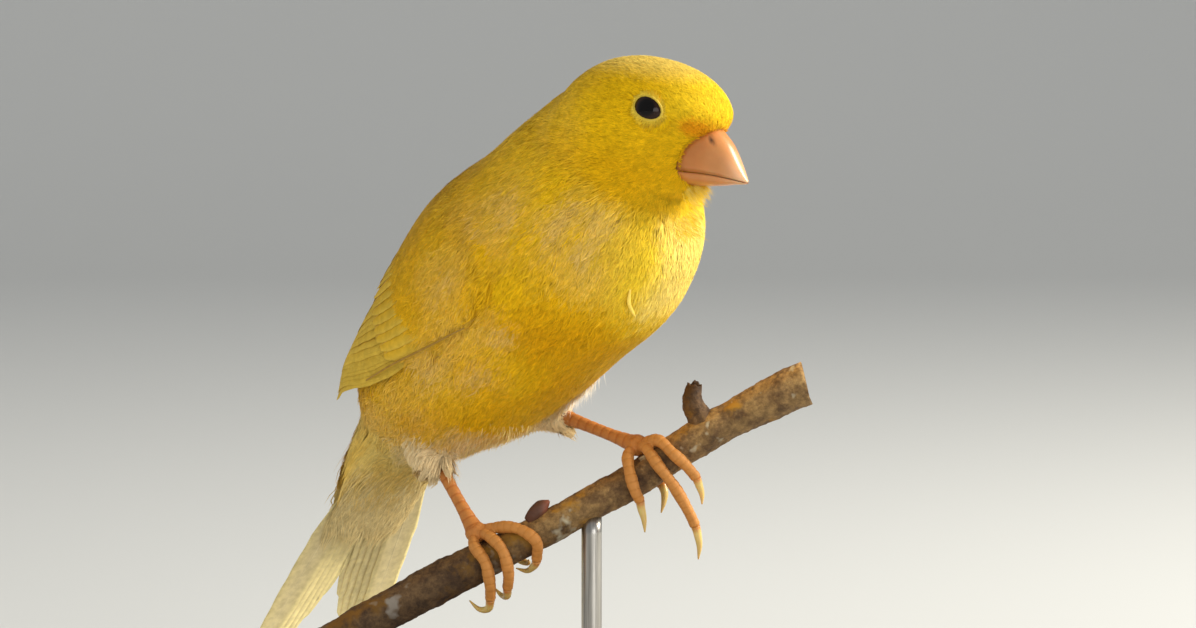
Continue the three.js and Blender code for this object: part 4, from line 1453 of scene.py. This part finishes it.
def lid_opening(side, turn, grow):
    """Points of the almond-shaped opening of the lids on the eyeball, and the outward ways."""
    centre, gaze, across, up = eye_frame(side)
    long_way = across * math.cos(LID_SLANT) + up * math.sin(LID_SLANT)
    short_way = up * math.cos(LID_SLANT) - across * math.sin(LID_SLANT)
    out = np.cos(turn)[:, None] * long_way * LID_LONG + np.sin(turn)[:, None] * short_way * LID_SHORT
    reach = np.linalg.norm(out, axis=1) + grow
    out = unit(out)
    height = np.sqrt(np.maximum(EYE_RADIUS**2 - reach**2, 1.0))
    return centre + out * reach[:, None] + height[:, None] * gaze, out, gaze


def build_lids():
    """The bare rim of each lid and rings of tiny feathers round it."""
    for name, side in (("left", 1), ("right", -1)):
        turn = turns(72)
        line, out, gaze = lid_opening(side, turn, 0.1)
        small = turns(12)
        rim = 0.2 * (1 + 0.12 * np.sin(turn * 17))
        rings = (
            line[:, None]
            + out[:, None] * (rim[:, None] * np.cos(small))[..., None]
            + (rim[:, None] * np.sin(small))[..., None] * gaze
        )
        count, sides = rings.shape[:2]
        faces = ring_faces(count + 1, sides, closed=False) % (count * sides)
        points = rings.reshape(-1, 3)
        colour = np.tile(LID_COLOUR * 0.75, (len(points), 1))
        item = make_object(f"lid_{name}", to_part(points), faces, LID_SKIN, colour)
        finished(item, "plumage")
        lid_band(name, side, turn)
        lid_feathers(name, side)


def lid_band(name, side, turn):
    """The skin of the lids, from the opening over the eyeball to the skin of the head."""
    centre, gaze, _, _ = eye_frame(side)
    rings = []
    for grow in (1.5, 1.2, 0.9, 0.6, 0.3, 0.08):
        line, out, _ = lid_opening(side, turn, grow)
        reach = np.sum((line - centre) * out, axis=1)
        ball = np.sqrt(np.maximum(EYE_RADIUS**2 - reach**2, 0)) + 0.06
        ground, _ = nearest(centre + out * reach[:, None] + gaze * 2.6)
        height = np.maximum(ball, (ground - centre) @ gaze + 0.1)
        rings.append(centre + out * reach[:, None] + height[:, None] * gaze)
    rings = np.array(rings if side < 0 else [ring[::-1] for ring in rings])
    points = rings.reshape(-1, 3)
    faces = ring_faces(len(rings), len(turn), closed=False)
    golden = np.repeat(np.linspace(1, 0, len(rings)), len(turn))[:, None]
    item = make_object(
        f"lid_band_{name}", to_part(points), faces, LID_SKIN, mix(LID_COLOUR, GOLD, golden) * 0.85
    )
    finished(item, "plumage")


def lid_feathers(name, side):
    """Rings of tiny feathers round the opening of the lids."""
    parts, paint = [], []
    turn = turns(LID_FEATHERS)
    for grow, length, golden in LID_ROWS:
        shift = 0.03 * rng.normal(0, 1, LID_FEATHERS)
        line, outs, gaze = lid_opening(side, turn + shift, grow)
        for place, out in zip(line, outs):
            way = unit(out * 0.7 - FORWARD * 0.55 + HEAD_UP * rng.normal(0, 0.12))
            root = place + gaze * 0.12
            tip = root + way * length * rng.uniform(0.7, 1.2) - gaze * 0.22
            across = unit(np.cross(gaze, way)) * 0.1
            bend = (root + tip) / 2 + gaze * 0.12
            parts.append(bristle(root, bend, tip, across))
            tint = mix(LID_COLOUR, GOLD, golden) * rng.uniform(0.85, 1.1)
            paint.append(np.tile(tint, (5, 1)))
    points, faces = gather(parts)
    item = make_object(
        f"lid_feathers_{name}", to_part(points), faces, PLUMAGE, np.concatenate(paint),
        unwrap(points), np.tile(turned(gaze), (len(points), 1)),
    )
    finished(item, "plumage")


build_eyes()
build_lids()

BILL_FLESH = srgb(208, 140, 80)
BILL_TIP = srgb(228, 176, 130)
BILL_BASE = srgb(204, 128, 62)
# Painted shade for the nostril's hollow and the seam between the mandibles
BILL_PAINTED_SHADE = srgb(150, 84, 54)


def mouth_line(f):
    t = (f - MOUTH_CORNER[0]) / (MOUTH_TIP[0] - MOUTH_CORNER[0])
    return mix(MOUTH_CORNER[1], MOUTH_TIP[1], t) + 0.35 * np.sin(np.pi * np.clip(t, 0, 1))


def mandible(upper):
    """Sections of one half of the bill, from its root to its tip."""
    way, share, roundness, arch = (1, 1.0, 0.95, 0.25) if upper else (-1, 0.93, 0.9, 0.2)
    arc = np.linspace(0, np.pi, 27)
    rings = []
    for f in mix(BILL[0, 0], BILL[-1, 0], np.sin(np.linspace(0, np.pi / 2, 34))):
        top, bottom, half = (track(BILL, k, f) for k in (1, 2, 3))
        line = mouth_line(f)
        wide = half * share
        rise = way * np.maximum(way * ((top if upper else bottom) - line) - 0.06, 0.08)
        y = way * wide * np.sign(np.cos(arc)) * np.abs(np.cos(arc)) ** 0.85
        z = line + way * 0.06 + rise * np.sin(arc) ** roundness
        inner_y = way * np.linspace(-wide * 0.8, wide * 0.8, 9)
        inner_z = line + way * 0.16 + arch * rise * (1 - (inner_y / wide) ** 2)
        rings.append(head_point(f, np.append(y, inner_y), np.append(z, inner_z)))
    return loft(np.array(rings))


def build_bill():
    for name, upper in (("upper", True), ("lower", False)):
        points, faces = mandible(upper)
        f, left, up = head_coordinates(points)
        hole = np.sqrt(((f - NOSTRIL[0]) / 0.62) ** 2 + ((up - NOSTRIL[1]) / 0.42) ** 2)
        if upper:
            for side in (-1, 1):
                near = (left * side > 0) * (1 - smooth(hole, 0.4, 1.2))
                points = points - outer(near * side * 0.5, HEAD_LEFT)
        colour = mix(BILL_FLESH, BILL_TIP, smooth(f, 15, 20)[:, None])
        colour = mix(colour, BILL_BASE, (1 - smooth(f, 12.2, 15))[:, None] * 0.7)
        colour = colour * (1 - 0.1 * smooth(np.abs(left), 1.5, 3.2))[:, None]
        # Painted shade in the nostril's hollow on the upper mandible
        if upper:
            colour = mix(colour, BILL_PAINTED_SHADE * 0.3, (1 - smooth(hole, 0.5, 1.0))[:, None] * 0.9)
        # Painted shade along the seam between the mandibles, deepest at the gape's corner
        seam = np.abs(up - mouth_line(f))
        gape = 0.1 + 0.75 * (1 - smooth(f, 9.6, 11.6))
        colour = mix(colour, BILL_PAINTED_SHADE, ((1 - smooth(seam, 0.06, 0.3)) * gape)[:, None])
        item = make_object(f"mandible_{name}", to_part(points), faces, HORN, colour)
        finished(item, "bill", f"bill_{name}")


def bill_edge(turns):
    """How far forwards the face reaches at angles round the bill."""
    f = np.linspace(BILL[0, 0], 14, 60)[:, None]
    top, bottom, half = (track(BILL, c, f) for c in (1, 2, 3))
    up = (top + bottom) / 2 + (top - bottom) / 2 * np.sin(turns)
    places = head_point(f, half * np.cos(turns), up)
    ground, normal = nearest(places)
    bare = dot(places - ground, normal)[..., 0] > 0.35
    return np.where(bare.any(0), f[bare.argmax(0), 0], BILL[0, 0])


def bill_bristles():
    """Short bristly feathers that break the line of the bill's root, and whiskers at the chin."""
    parts, paint = [], []
    turns = np.linspace(-np.pi, np.pi, 73)
    edge = bill_edge(turns)
    for k in range(BRISTLES):
        a = rng.uniform(-np.pi, np.pi)
        whisker = k >= FIRST_WHISKER
        if whisker:
            a = rng.uniform(-2.6, -0.5)
        over, under = max(math.sin(a), 0), max(-math.sin(a), 0)
        f0 = np.interp(a, turns, edge) - rng.uniform(0, 0.5)
        top, bottom, half = (track(BILL, c, f0) for c in (1, 2, 3))
        out = unit(HEAD_LEFT * math.cos(a) + HEAD_UP * math.sin(a))
        up = (top + bottom) / 2 + ((top - bottom) / 2 + 0.1) * math.sin(a)
        root = head_point(f0, (half + 0.1) * math.cos(a), up)
        length = rng.uniform(1.8, 3.4) if whisker else rng.uniform(0.5, 0.9) + 0.3 * under
        way = unit(FORWARD + out * rng.uniform(0.3, 0.7) + HEAD_LEFT * rng.normal(0, 0.25))
        if whisker:
            way = unit(way - HEAD_UP * 0.7)
        tip = root + way * length
        side = unit(np.cross(out, way)) * (0.045 if whisker else 0.07)
        parts.append(bristle(root, (root + tip) / 2 + out * 0.05, tip, side, 0.8))
        tint = BRIGHT if whisker else mix(GOLD, BILL_BASE, 0.5 * over)
        paint.append(np.tile(tint * rng.uniform(0.85, 1.1), (5, 1)))
    points, faces = gather(parts)
    item = make_object(
        "bill_bristles", to_part(points), faces, PLUMAGE, np.concatenate(paint), unwrap(points)
    )
    finished(item, "plumage")


def tufts(name, places, way, spread, lengths, colours):
    """Loose soft tips that stand out of the coat at places on the skin."""
    parts, paint = [], []
    roots, outs = nearest(places)
    near_side = unit(to_bird(BODY_CENTRE + np.array([0.2, -1, 0.1])))
    for root, out in zip(roots, outs):
        lean = unit(way + out * rng.uniform(0.1, 0.8) + unit(rng.normal(size=3)) * spread)
        length = rng.uniform(*lengths)
        side = unit(np.cross(out * 0.5 + near_side, lean)) * rng.uniform(0.03, 0.06)
        sweep = unit(rng.normal(size=3)) * 0.16 * length + way * 0.14 * length
        line = [root + lean * length * t + sweep * t * t for t in (0, 0.35, 0.7, 1)]
        rows = [point + side * k * (1 - 0.3 * i) for i, point in enumerate(line[:3]) for k in (-1, 1)]
        parts.append((np.array(rows + line[3:]), TUFT_FACES))
        tint = mix(colours[0], colours[1], rng.uniform(0, 1)) * rng.uniform(0.9, 1.04)
        paint.append(np.tile(tint, (7, 1)))
    points, faces = gather(parts)
    uv = np.repeat(unwrap(roots), 7, axis=0) + np.tile(TUFT_PATCH, (len(roots), 1))
    item = make_object(name, to_part(points), faces, PLUMAGE, np.concatenate(paint), uv)
    finished(item, "plumage")


def loose_tufts():
    """The beard below the chin, and down at the belly's edge and over the left leg."""
    n = BEARD_TUFTS
    t = rng.uniform(0, 1, n) ** 1.5
    chin = head_point(mix(12.4, 10.4, t), rng.uniform(-3.2, 3.2, n), mix(-8.2, -15.0, t))
    throat = trunk_point(rng.uniform(31.5, 36, n), rng.uniform(-72, -36, n), 1.0)
    beard = np.concatenate([chin, throat])
    tufts("throat_beard", beard, unit(FORWARD - HEAD_UP * 0.8), 0.35, (1.2, 3.0), (BRIGHT, CREAM))
    n = VENT_TUFTS
    edge = trunk_point(rng.uniform(-28, -15, n), rng.normal(268, 8, n), -COAT_DEPTH)
    down = to_bird(BODY_CENTRE + np.array([-0.5, 0, -0.86]))
    tufts("vent_down", edge, unit(down - ALONG * 0.8), 0.45, (1.0, 2.4), (DOWN_SHADE, CREAM))
    # The down over the left leg is painted near white, partly pale down and partly painted light
    t = rng.uniform(0, 1, THIGH_TUFTS)[:, None]
    thigh = mix(*np.array(THIGH_LINE), t)
    thigh = to_bird(thigh + rng.normal(0, 0.8, (THIGH_TUFTS, 3)))
    tufts("thigh_down", thigh, down, 0.3, (1.6, 3.4), (PALE_WITH_PAINTED_LIGHT, DOWN))


build_bill()
bill_bristles()
loose_tufts()


# Legs, toes and claws

# Each toe's path, then its claw's. A place is (x along the branch, angle round it, height over it)
LEGS = {
    "right": {
        "heel": (-26, 8, 49),
        "hub": (-16.1, 4, 1.5),
        "toes": {
            "inner": (
                [(-13.6, 18, 1.25), (-10.6, 52, 1.2), (-9.0, 100, 1.2), (-10.2, 150, 1.3)],
                [(-10.9, 168, 1.5), (-12.2, 184, 1.7), (-13.4, 190, 0.6)],
            ),
            "middle": (
                [(-14.6, 40, 1.3), (-13.7, 84, 1.3), (-14.4, 130, 2.0), (-15.6, 158, 2.9)],
                [(-16.2, 171, 3.6), (-16.9, 183, 3.2), (-17.4, 192, 1.7)],
            ),
            "outer": (
                [(-17.0, 44, 1.2), (-16.6, 90, 1.2), (-17.4, 132, 2.1), (-18.4, 156, 3.2)],
                [(-19.3, 169, 4.0), (-20.6, 179, 3.4), (-21.3, 182, 1.5)],
            ),
            "hallux": (
                [(-15.8, -28, 1.4), (-14.9, -62, 1.3), (-13.8, -94, 1.3), (-12.8, -120, 1.5)],
                [(-12.3, -132, 1.9), (-11.7, -144, 1.8), (-11.4, -153, 0.8)],
            ),
        },
    },
    "left": {
        "heel": (-6.2, 10, 53.8),
        "hub": (9.6, -4, 1.5),
        "toes": {
            "inner": (
                [(8.0, 24, 1.6), (7.0, 62, 1.3), (6.2, 104, 1.3), (6.0, 132, 1.5)],
                [(5.6, 144, 2.2), (5.2, 151, 3.6), (4.6, 155, 5.4)],
            ),
            "middle": (
                [(10.4, 34, 1.3), (10.5, 88, 1.3), (10.6, 136, 2.6), (10.3, 157, 6.0), (9.9, 164, 8.6)],
                [(9.6, 166, 9.6), (8.9, 168, 11.4), (7.9, 170, 13.0)],
            ),
            "outer": (
                [(12.2, 36, 1.3), (12.9, 84, 1.1), (13.4, 122, 1.4), (13.6, 148, 2.9)],
                [(13.3, 156, 3.9), (12.9, 160, 5.2), (12.2, 162, 6.4)],
            ),
            "hallux": (
                [(9.6, -34, 1.4), (9.4, -72, 1.3), (9.2, -108, 1.3), (9.2, -138, 1.6)],
                [(8.9, -152, 2.2), (8.2, -162, 3.0), (7.2, -168, 4.0)],
            ),
        },
    },
}
TARSUS_RADII = [1.4, 1.1, 0.98, 1.05, 1.5]
TOE_RADII = [1.15, 0.87, 1.0, 0.87, 1.0, 0.87, 0.85]
CLAW_RADII = [0.72, 0.6, 0.4, 0.1]
HUB_RADIUS = 1.75
# Lengths of the plates of horn on shank and toes
TARSUS_PLATE = 1.55
TOE_PLATE = 1.15

LEG_FLESH = srgb(188, 112, 50)
LEG_PALE = srgb(196, 134, 70)
TOE_YELLOW = srgb(202, 134, 62)
CLAW_PALE = srgb(226, 196, 116)
CLAW_TIP = srgb(204, 168, 92)


def scutes(along, length):
    """Overlapping plates: a slow rise and a quick drop at each plate's end."""
    x = (along / length) % 1.0
    return smooth(x, 0, 0.35) * (1 - smooth(x, 0.86, 1.0))


def ball_rings(radius):
    """Rings of a ball about the origin, without its poles."""
    polar = np.linspace(0, np.pi, 14)[1:-1, None]
    turn = turns(20)
    flat = [np.sin(polar) * np.cos(turn), np.sin(polar) * np.sin(turn)]
    return radius * np.stack(flat + [np.cos(polar) * np.ones(len(turn))], -1)


def foot_surface(leg):
    """A foot's surface, and its middle lines: points, distances, plate length and 1 on a toe."""
    hub = perch_point(*leg["hub"])
    heel = np.array(leg["heel"], float)
    rings, centre, at = tube_rings([heel, mix(heel, hub, 0.5), hub], TARSUS_RADII, 40, 24)
    parts = [loft(rings)]
    lines = [(centre, at, TARSUS_PLATE, 0.0)]
    for path, _ in leg["toes"].values():
        points = [hub] + [perch_point(*p) for p in path]
        rings, centre, at = tube_rings(points, TOE_RADII, 48, 20)
        parts.append(loft(rings))
        lines.append((centre, at, TOE_PLATE, 1.0))
    parts.append(loft(hub + ball_rings(HUB_RADIUS)))
    points, faces = remeshed(*gather(parts), 0.2, 4)
    return points, faces, lines


def foot_places(points, lines):
    """For each point: the distance along its nearest middle line, plate length, share of toe."""
    along, plate, on_toe = np.zeros(len(points)), np.ones(len(points)), np.zeros(len(points))
    nearest_yet = np.full(len(points), np.inf)
    for centre, at, length, toe in lines:
        tree = kd_tree(centre)
        for i, p in enumerate(points):
            _, k, away = tree.find(p)
            if away < nearest_yet[i]:
                nearest_yet[i] = away
                way = unit(centre[min(k + 1, len(centre) - 1)] - centre[max(k - 1, 0)])
                along[i] = at[k] + (p - centre[k]) @ way
                plate[i] = length
                on_toe[i] = toe * smooth(along[i], 0.5, 4)
    return along, plate, on_toe


def build_foot(name, leg):
    points, faces, lines = foot_surface(leg)
    normals = point_normals(points, faces)
    along, plate, on_toe = foot_places(points, lines)
    ridge = scutes(along + 0.4, plate)
    top = smooth(normals @ np.array([0, -0.55, 0.6]), -0.4, 0.5)
    points = points + normals * ((ridge - 0.6) * 0.07 * mix(0.4, 1.0, top))[:, None]
    colour = mix(LEG_FLESH, TOE_YELLOW, on_toe[:, None])
    colour = mix(colour, LEG_PALE, (0.45 * ridge)[:, None])
    colour = colour * mix(0.86, 1.0, smooth(ridge, 0.0, 0.5))[:, None]
    item = make_object(f"foot_skin_{name}", points, faces, LEG_SKIN, colour)
    finished(item, "leg", f"foot_{name}")


def build_claw(name, digit, path, bend):
    root = perch_point(*path[-1])
    bends = [perch_point(*p) for p in bend]
    rings, _, _ = tube_rings([root] + bends, CLAW_RADII, 30, 16)
    points, faces = loft(rings)
    t = np.repeat(np.linspace(0, 1, len(rings)), rings.shape[1])
    t = np.append(t, [0, 1])
    colour = mix(CLAW_PALE, CLAW_TIP, t[:, None])
    colour = mix(TOE_YELLOW, colour, smooth(t, 0.0, 0.25)[:, None])
    item = make_object(f"claw_horn_{name}_{digit}", points, faces, CLAW_HORN, colour)
    finished(item, "claw", f"claw_{name}_{digit}")


for leg_name, leg in LEGS.items():
    build_foot(leg_name, leg)
    for digit, (path, bend) in leg["toes"].items():
        build_claw(leg_name, digit, path, bend)


# The branch


def bark_material():
    made = material("bark", 0.85)
    where = object_position(made)
    base = noise_texture(made, 160, 6, where, 0.7)
    fine = noise_texture(made, 900, 5, where, 0.7)
    lichen = noise_texture(made, 95, 5, where, 0.6)
    browns = [
        (0.30, srgb(60, 42, 28)),
        (0.44, srgb(112, 86, 56)),
        (0.56, srgb(158, 128, 84)),
        (0.70, srgb(86, 62, 36)),
    ]
    colour = ramp(made, base, browns)
    grit = ramp(made, fine, [(0.35, (0.55, 0.52, 0.5)), (0.62, (1.1, 1.1, 1.1))])
    colour = blend_colour(made, colour, grit, 1.0, "MULTIPLY")
    patch = ramp(made, lichen, [(0.56, (0, 0, 0)), (0.63, (1, 1, 1))])
    colour = blend_colour(made, colour, srgb(160, 118, 40), patch)
    pale = ramp(made, noise_texture(made, 210, 3, where), [(0.62, (0, 0, 0)), (0.7, (1, 1, 1))])
    colour = blend_colour(made, colour, srgb(196, 190, 172), pale)
    set_colour(made, blend_colour(made, colour, painted_colour(made), 1.0, "MULTIPLY"))
    bump(made, fine, 0.6, 0.0004)
    return made


def fractal(p, scale, octaves=4):
    out = np.empty(len(p))
    for i, q in enumerate(p):
        out[i] = noise.fractal(Vector(q) * scale, 1.0, 2.0, octaves)
    return out


BARK = bark_material()
CUT_WOOD = material("cut_wood", 0.7)


def bark_tone(points, in_branch):
    """Paler towards the high end and ochre on top, with painted light on top and painted shade
    underneath; darker up the snapped stub.
    """
    x, z = points[:, 0], points[:, 2]
    above = (z - track(PERCH, 1, x)) / track(PERCH, 2, x)
    tone = mix(srgb(178, 170, 168), srgb(255, 250, 232) * 1.25, smooth(x, -27, 4)[:, None])
    # Painted light on top and painted shade underneath
    tone = tone * mix(0.7, 1.15, smooth(above, -0.8, 0.7))[:, None]
    tone = mix(tone, tone * np.array([1.15, 1.02, 0.76]), smooth(above, 0.45, 0.9)[:, None] * 0.8)
    up_stub = smooth(z[in_branch:], 52, 59)[:, None]
    tone[in_branch:] = mix(srgb(214, 200, 190), srgb(136, 120, 112), up_stub)
    return tone


def branch_shape():
    """The rough branch, with a swelling at each bud's node."""
    count, sides = 220, 72
    xs = np.linspace(PERCH[0, 0], PERCH[-1, 0], count)
    turn = np.linspace(0, 360, sides, endpoint=False)
    rings = np.array([perch_point(np.full(sides, x), turn, np.zeros(sides)) for x in xs])
    flat = rings.reshape(-1, 3)
    centre = np.repeat(np.stack([xs, 0 * xs, track(PERCH, 1, xs)], -1), sides, axis=0)
    out = unit(flat - centre)
    stretched = flat * np.array([0.5, 1, 1])
    rough = 0.22 * fractal(stretched, 0.28) + 0.12 * fractal(flat, 1.1)
    node = np.zeros(len(flat))
    for x in PERCH_NODES:
        node += 0.35 * np.exp(-(((flat[:, 0] - x) / 1.3) ** 2))
    edge = np.minimum(flat[:, 0] - xs[0], xs[-1] - flat[:, 0])
    rough = (rough + node * 0.6 - 0.1) * smooth(edge, 0, 0.6)
    flat = flat + out * rough[:, None]
    return loft(flat.reshape(count, sides, 3))


def stub_shape():
    """The stub of a snapped side twig, hollow and ragged at its top."""
    stub_line = [perch_point(18.2, 0, -2), perch_point(18.3, 0, 2), np.array([16.1, -0.2, 59.0])]
    stub, _, _ = tube_rings(stub_line, [2.5, 1.9, 1.6, 1.2], 60, 40)
    flat = stub.reshape(-1, 3)
    middle = np.repeat(stub.mean(1), stub.shape[1], axis=0)
    flat = flat + unit(flat - middle) * (0.16 * fractal(flat, 0.5) + 0.1 * fractal(flat, 1.6))[:, None]
    stub = flat.reshape(stub.shape)
    stub[-1, :, 2] += 1.2 * fractal(stub[-1], 1.3)
    rim = stub[-1]
    hollow = [
        mix(rim, rim.mean(0), share) - np.array([0, 0, drop])
        for share, drop in ((0.25, 0.0), (0.4, 0.5), (0.75, 0.9))
    ]
    return loft(np.concatenate([stub, hollow]))


def build_bud():
    line = [perch_point(-8.8, 10, -0.5), perch_point(-6.8, 10, 0.5), perch_point(-4.8, 10, 1.0)]
    rings, _, _ = tube_rings(line, [0.9, 1.2, 1.25, 1.0, 0.2], 30, 28)
    points, faces = loft(rings)
    swell = 0.12 * fractal(points, 0.9)
    points = points + point_normals(points, faces) * swell[:, None]
    colour = mix(srgb(92, 58, 40), srgb(182, 106, 78), smooth(points[:, 0], -8.4, -5.6)[:, None])
    look = painted("bud_scales", 0.6, 700, 0.4)
    finished(make_object("bud", points, faces, look, colour), "bark")


def build_perch():
    branch = branch_shape()
    points, faces = gather([branch, stub_shape()])
    item = make_object("branch", points, faces, BARK, bark_tone(points, len(branch[0])))
    finished(item, "bark", "perch")


def build_cut_ends():
    """Pale sawn wood with rings at both ends of the branch."""
    set_colour(CUT_WOOD, painted_colour(CUT_WOOD))
    for name, x, out in (("low", PERCH[0, 0], -1), ("high", PERCH[-1, 0], 1)):
        radius = track(PERCH, 2, x)
        shrink = np.linspace(0.93, 0.02, 26)
        rings = []
        for k in shrink:
            ring = perch_point(x, np.linspace(0, 360, 48, endpoint=False), (k - 1) * radius)
            rings.append(ring + np.array([out * 0.04, 0, 0]))
        rings = np.array(rings)
        if out < 0:
            rings = rings[:, ::-1]
        points, faces = loft(rings[::-1])
        r = np.append(np.repeat(shrink[::-1], 48), [0.02, 0.93])
        ring_tone = 0.5 + 0.5 * np.sin(r * 34)
        colour = mix(srgb(204, 172, 124), srgb(168, 128, 84), (ring_tone * 0.6)[:, None])
        colour = mix(srgb(110, 76, 50), colour, smooth(r, 0.03, 0.12)[:, None])
        finished(make_object(f"cut_end_{name}", points, faces, CUT_WOOD, colour), "bark")


build_perch()
build_bud()
build_cut_ends()


# The stand


def stretched_position(made, scale):
    mapping = add_node(made, "ShaderNodeMapping")
    mapping.inputs["Scale"].default_value = scale
    made.node_tree.links.new(object_position(made), mapping.inputs["Vector"])
    return mapping.outputs["Vector"]


def wood_material():
    made = material("stained_wood", 0.38, Coat_Weight=0.3, Coat_Roughness=0.25)
    grain = noise_texture(made, 9, 6, stretched_position(made, (6, 90, 90)), 0.6)
    browns = [(0.32, srgb(58, 36, 24)), (0.5, srgb(96, 62, 40)), (0.68, srgb(128, 86, 56))]
    set_colour(made, ramp(made, grain, browns))
    bump(made, grain, 0.15, 0.0002)
    return made


def metal_material():
    made = material("brushed_metal", 0.32, Metallic=1.0)
    streak = noise_texture(made, 6, 3, stretched_position(made, (600, 600, 12)))
    set_colour(made, ramp(made, streak, [(0.3, srgb(150, 146, 140)), (0.7, srgb(196, 192, 184))]))
    bump(made, streak, 0.1, 0.0001)
    return made


def turned_piece(name, profile, sides, look, slot, node):
    """A lathe piece from (radius, height) rows."""
    turn = turns(sides)
    rings = [
        np.stack([r * np.cos(turn), r * np.sin(turn), np.full(sides, z)], -1) for r, z in profile
    ]
    points, faces = loft(np.array(rings))
    return finished(make_object(name, points, faces, look), slot, node)


def build_stand():
    edge = np.linspace(0, np.pi / 2, 8)
    foot = [(39.4, 0.0), (39.85, 0.2), (40, 0.6), (40, 4.8)]
    rim = [(38.8 + 1.2 * math.cos(a), 4.8 + 1.2 * math.sin(a)) for a in edge[1:]]
    groove = [(36.4, 6.0), (36.2, 5.7), (35.6, 5.6), (35.0, 5.7), (34.8, 6.0), (12, 6.0)]
    turned_piece("turned_base", foot + rim + groove, 160, wood_material(), "base", "stand_base")
    top = float(track(PERCH, 1, 0.0) - track(PERCH, 2, 0.0))
    collar = [(3.1, 6.3), (3.4, 6.6), (3.4, 7.5), (3.1, 7.9), (1.9, 8.3), (1.6, 8.7)]
    post = [(1.6, z) for z in np.linspace(9, top + 0.5, 12)]
    turned_piece("post", collar + post, 48, metal_material(), "rod", "stand_rod")


build_stand()


# Floor, light and world


def build_stage():
    """A pale floor that curves up into a backdrop."""
    bend = np.linspace(0.2, np.pi / 2, 8)
    depth = [-3.0, 1.2] + [1.2 + 0.8 * math.sin(a) for a in bend] + [2.0]
    height = [0.0, 0.0] + [0.8 * (1 - math.cos(a)) for a in bend] + [3.5]
    rows = len(depth)
    points = []
    for y, z in zip(depth, height):
        points += [(-3500, y * 1000, z * 1000 - 0.02), (3500, y * 1000, z * 1000 - 0.02)]
    faces = []
    for k in range(rows - 1):
        a = 2 * k
        faces += [(a, a + 1, a + 3), (a, a + 3, a + 2)]
    look = material("floor", 0.9, Base_Color=(0.66, 0.66, 0.64, 1))
    floor = make_object("floor", np.array(points), np.array(faces), look)


def area_light(name, place, aim, size, power, colour=(1, 1, 1), mirrored=True):
    data = bpy.data.lights.new(name, "AREA")
    data.shape = "DISK"
    data.size = size
    data.energy = power
    data.color = colour
    item = bpy.data.objects.new(name, data)
    item.location = place
    item.visible_glossy = mirrored
    way = Vector(aim) - Vector(place)
    item.rotation_euler = way.to_track_quat("-Z", "Y").to_euler()
    bpy.context.scene.collection.objects.link(item)


def build_light():
    world = bpy.data.worlds.new("world")
    world.use_nodes = True
    world.node_tree.nodes["Background"].inputs["Color"].default_value = (0.93, 0.96, 1.0, 1)
    world.node_tree.nodes["Background"].inputs["Strength"].default_value = 0.42
    bpy.context.scene.world = world
    aim = (0, 0, 0.07)
    area_light("key", (0.8, 0.06, 0.52), aim, 0.35, 13.5, (1.0, 0.96, 0.86))
    area_light("fill", (-0.7, -0.9, 0.5), aim, 0.9, 3.6, (0.97, 0.98, 1.0), False)
    area_light("front", (0.55, -1.05, 0.14), aim, 0.7, 3.6)


build_stage()
build_light()
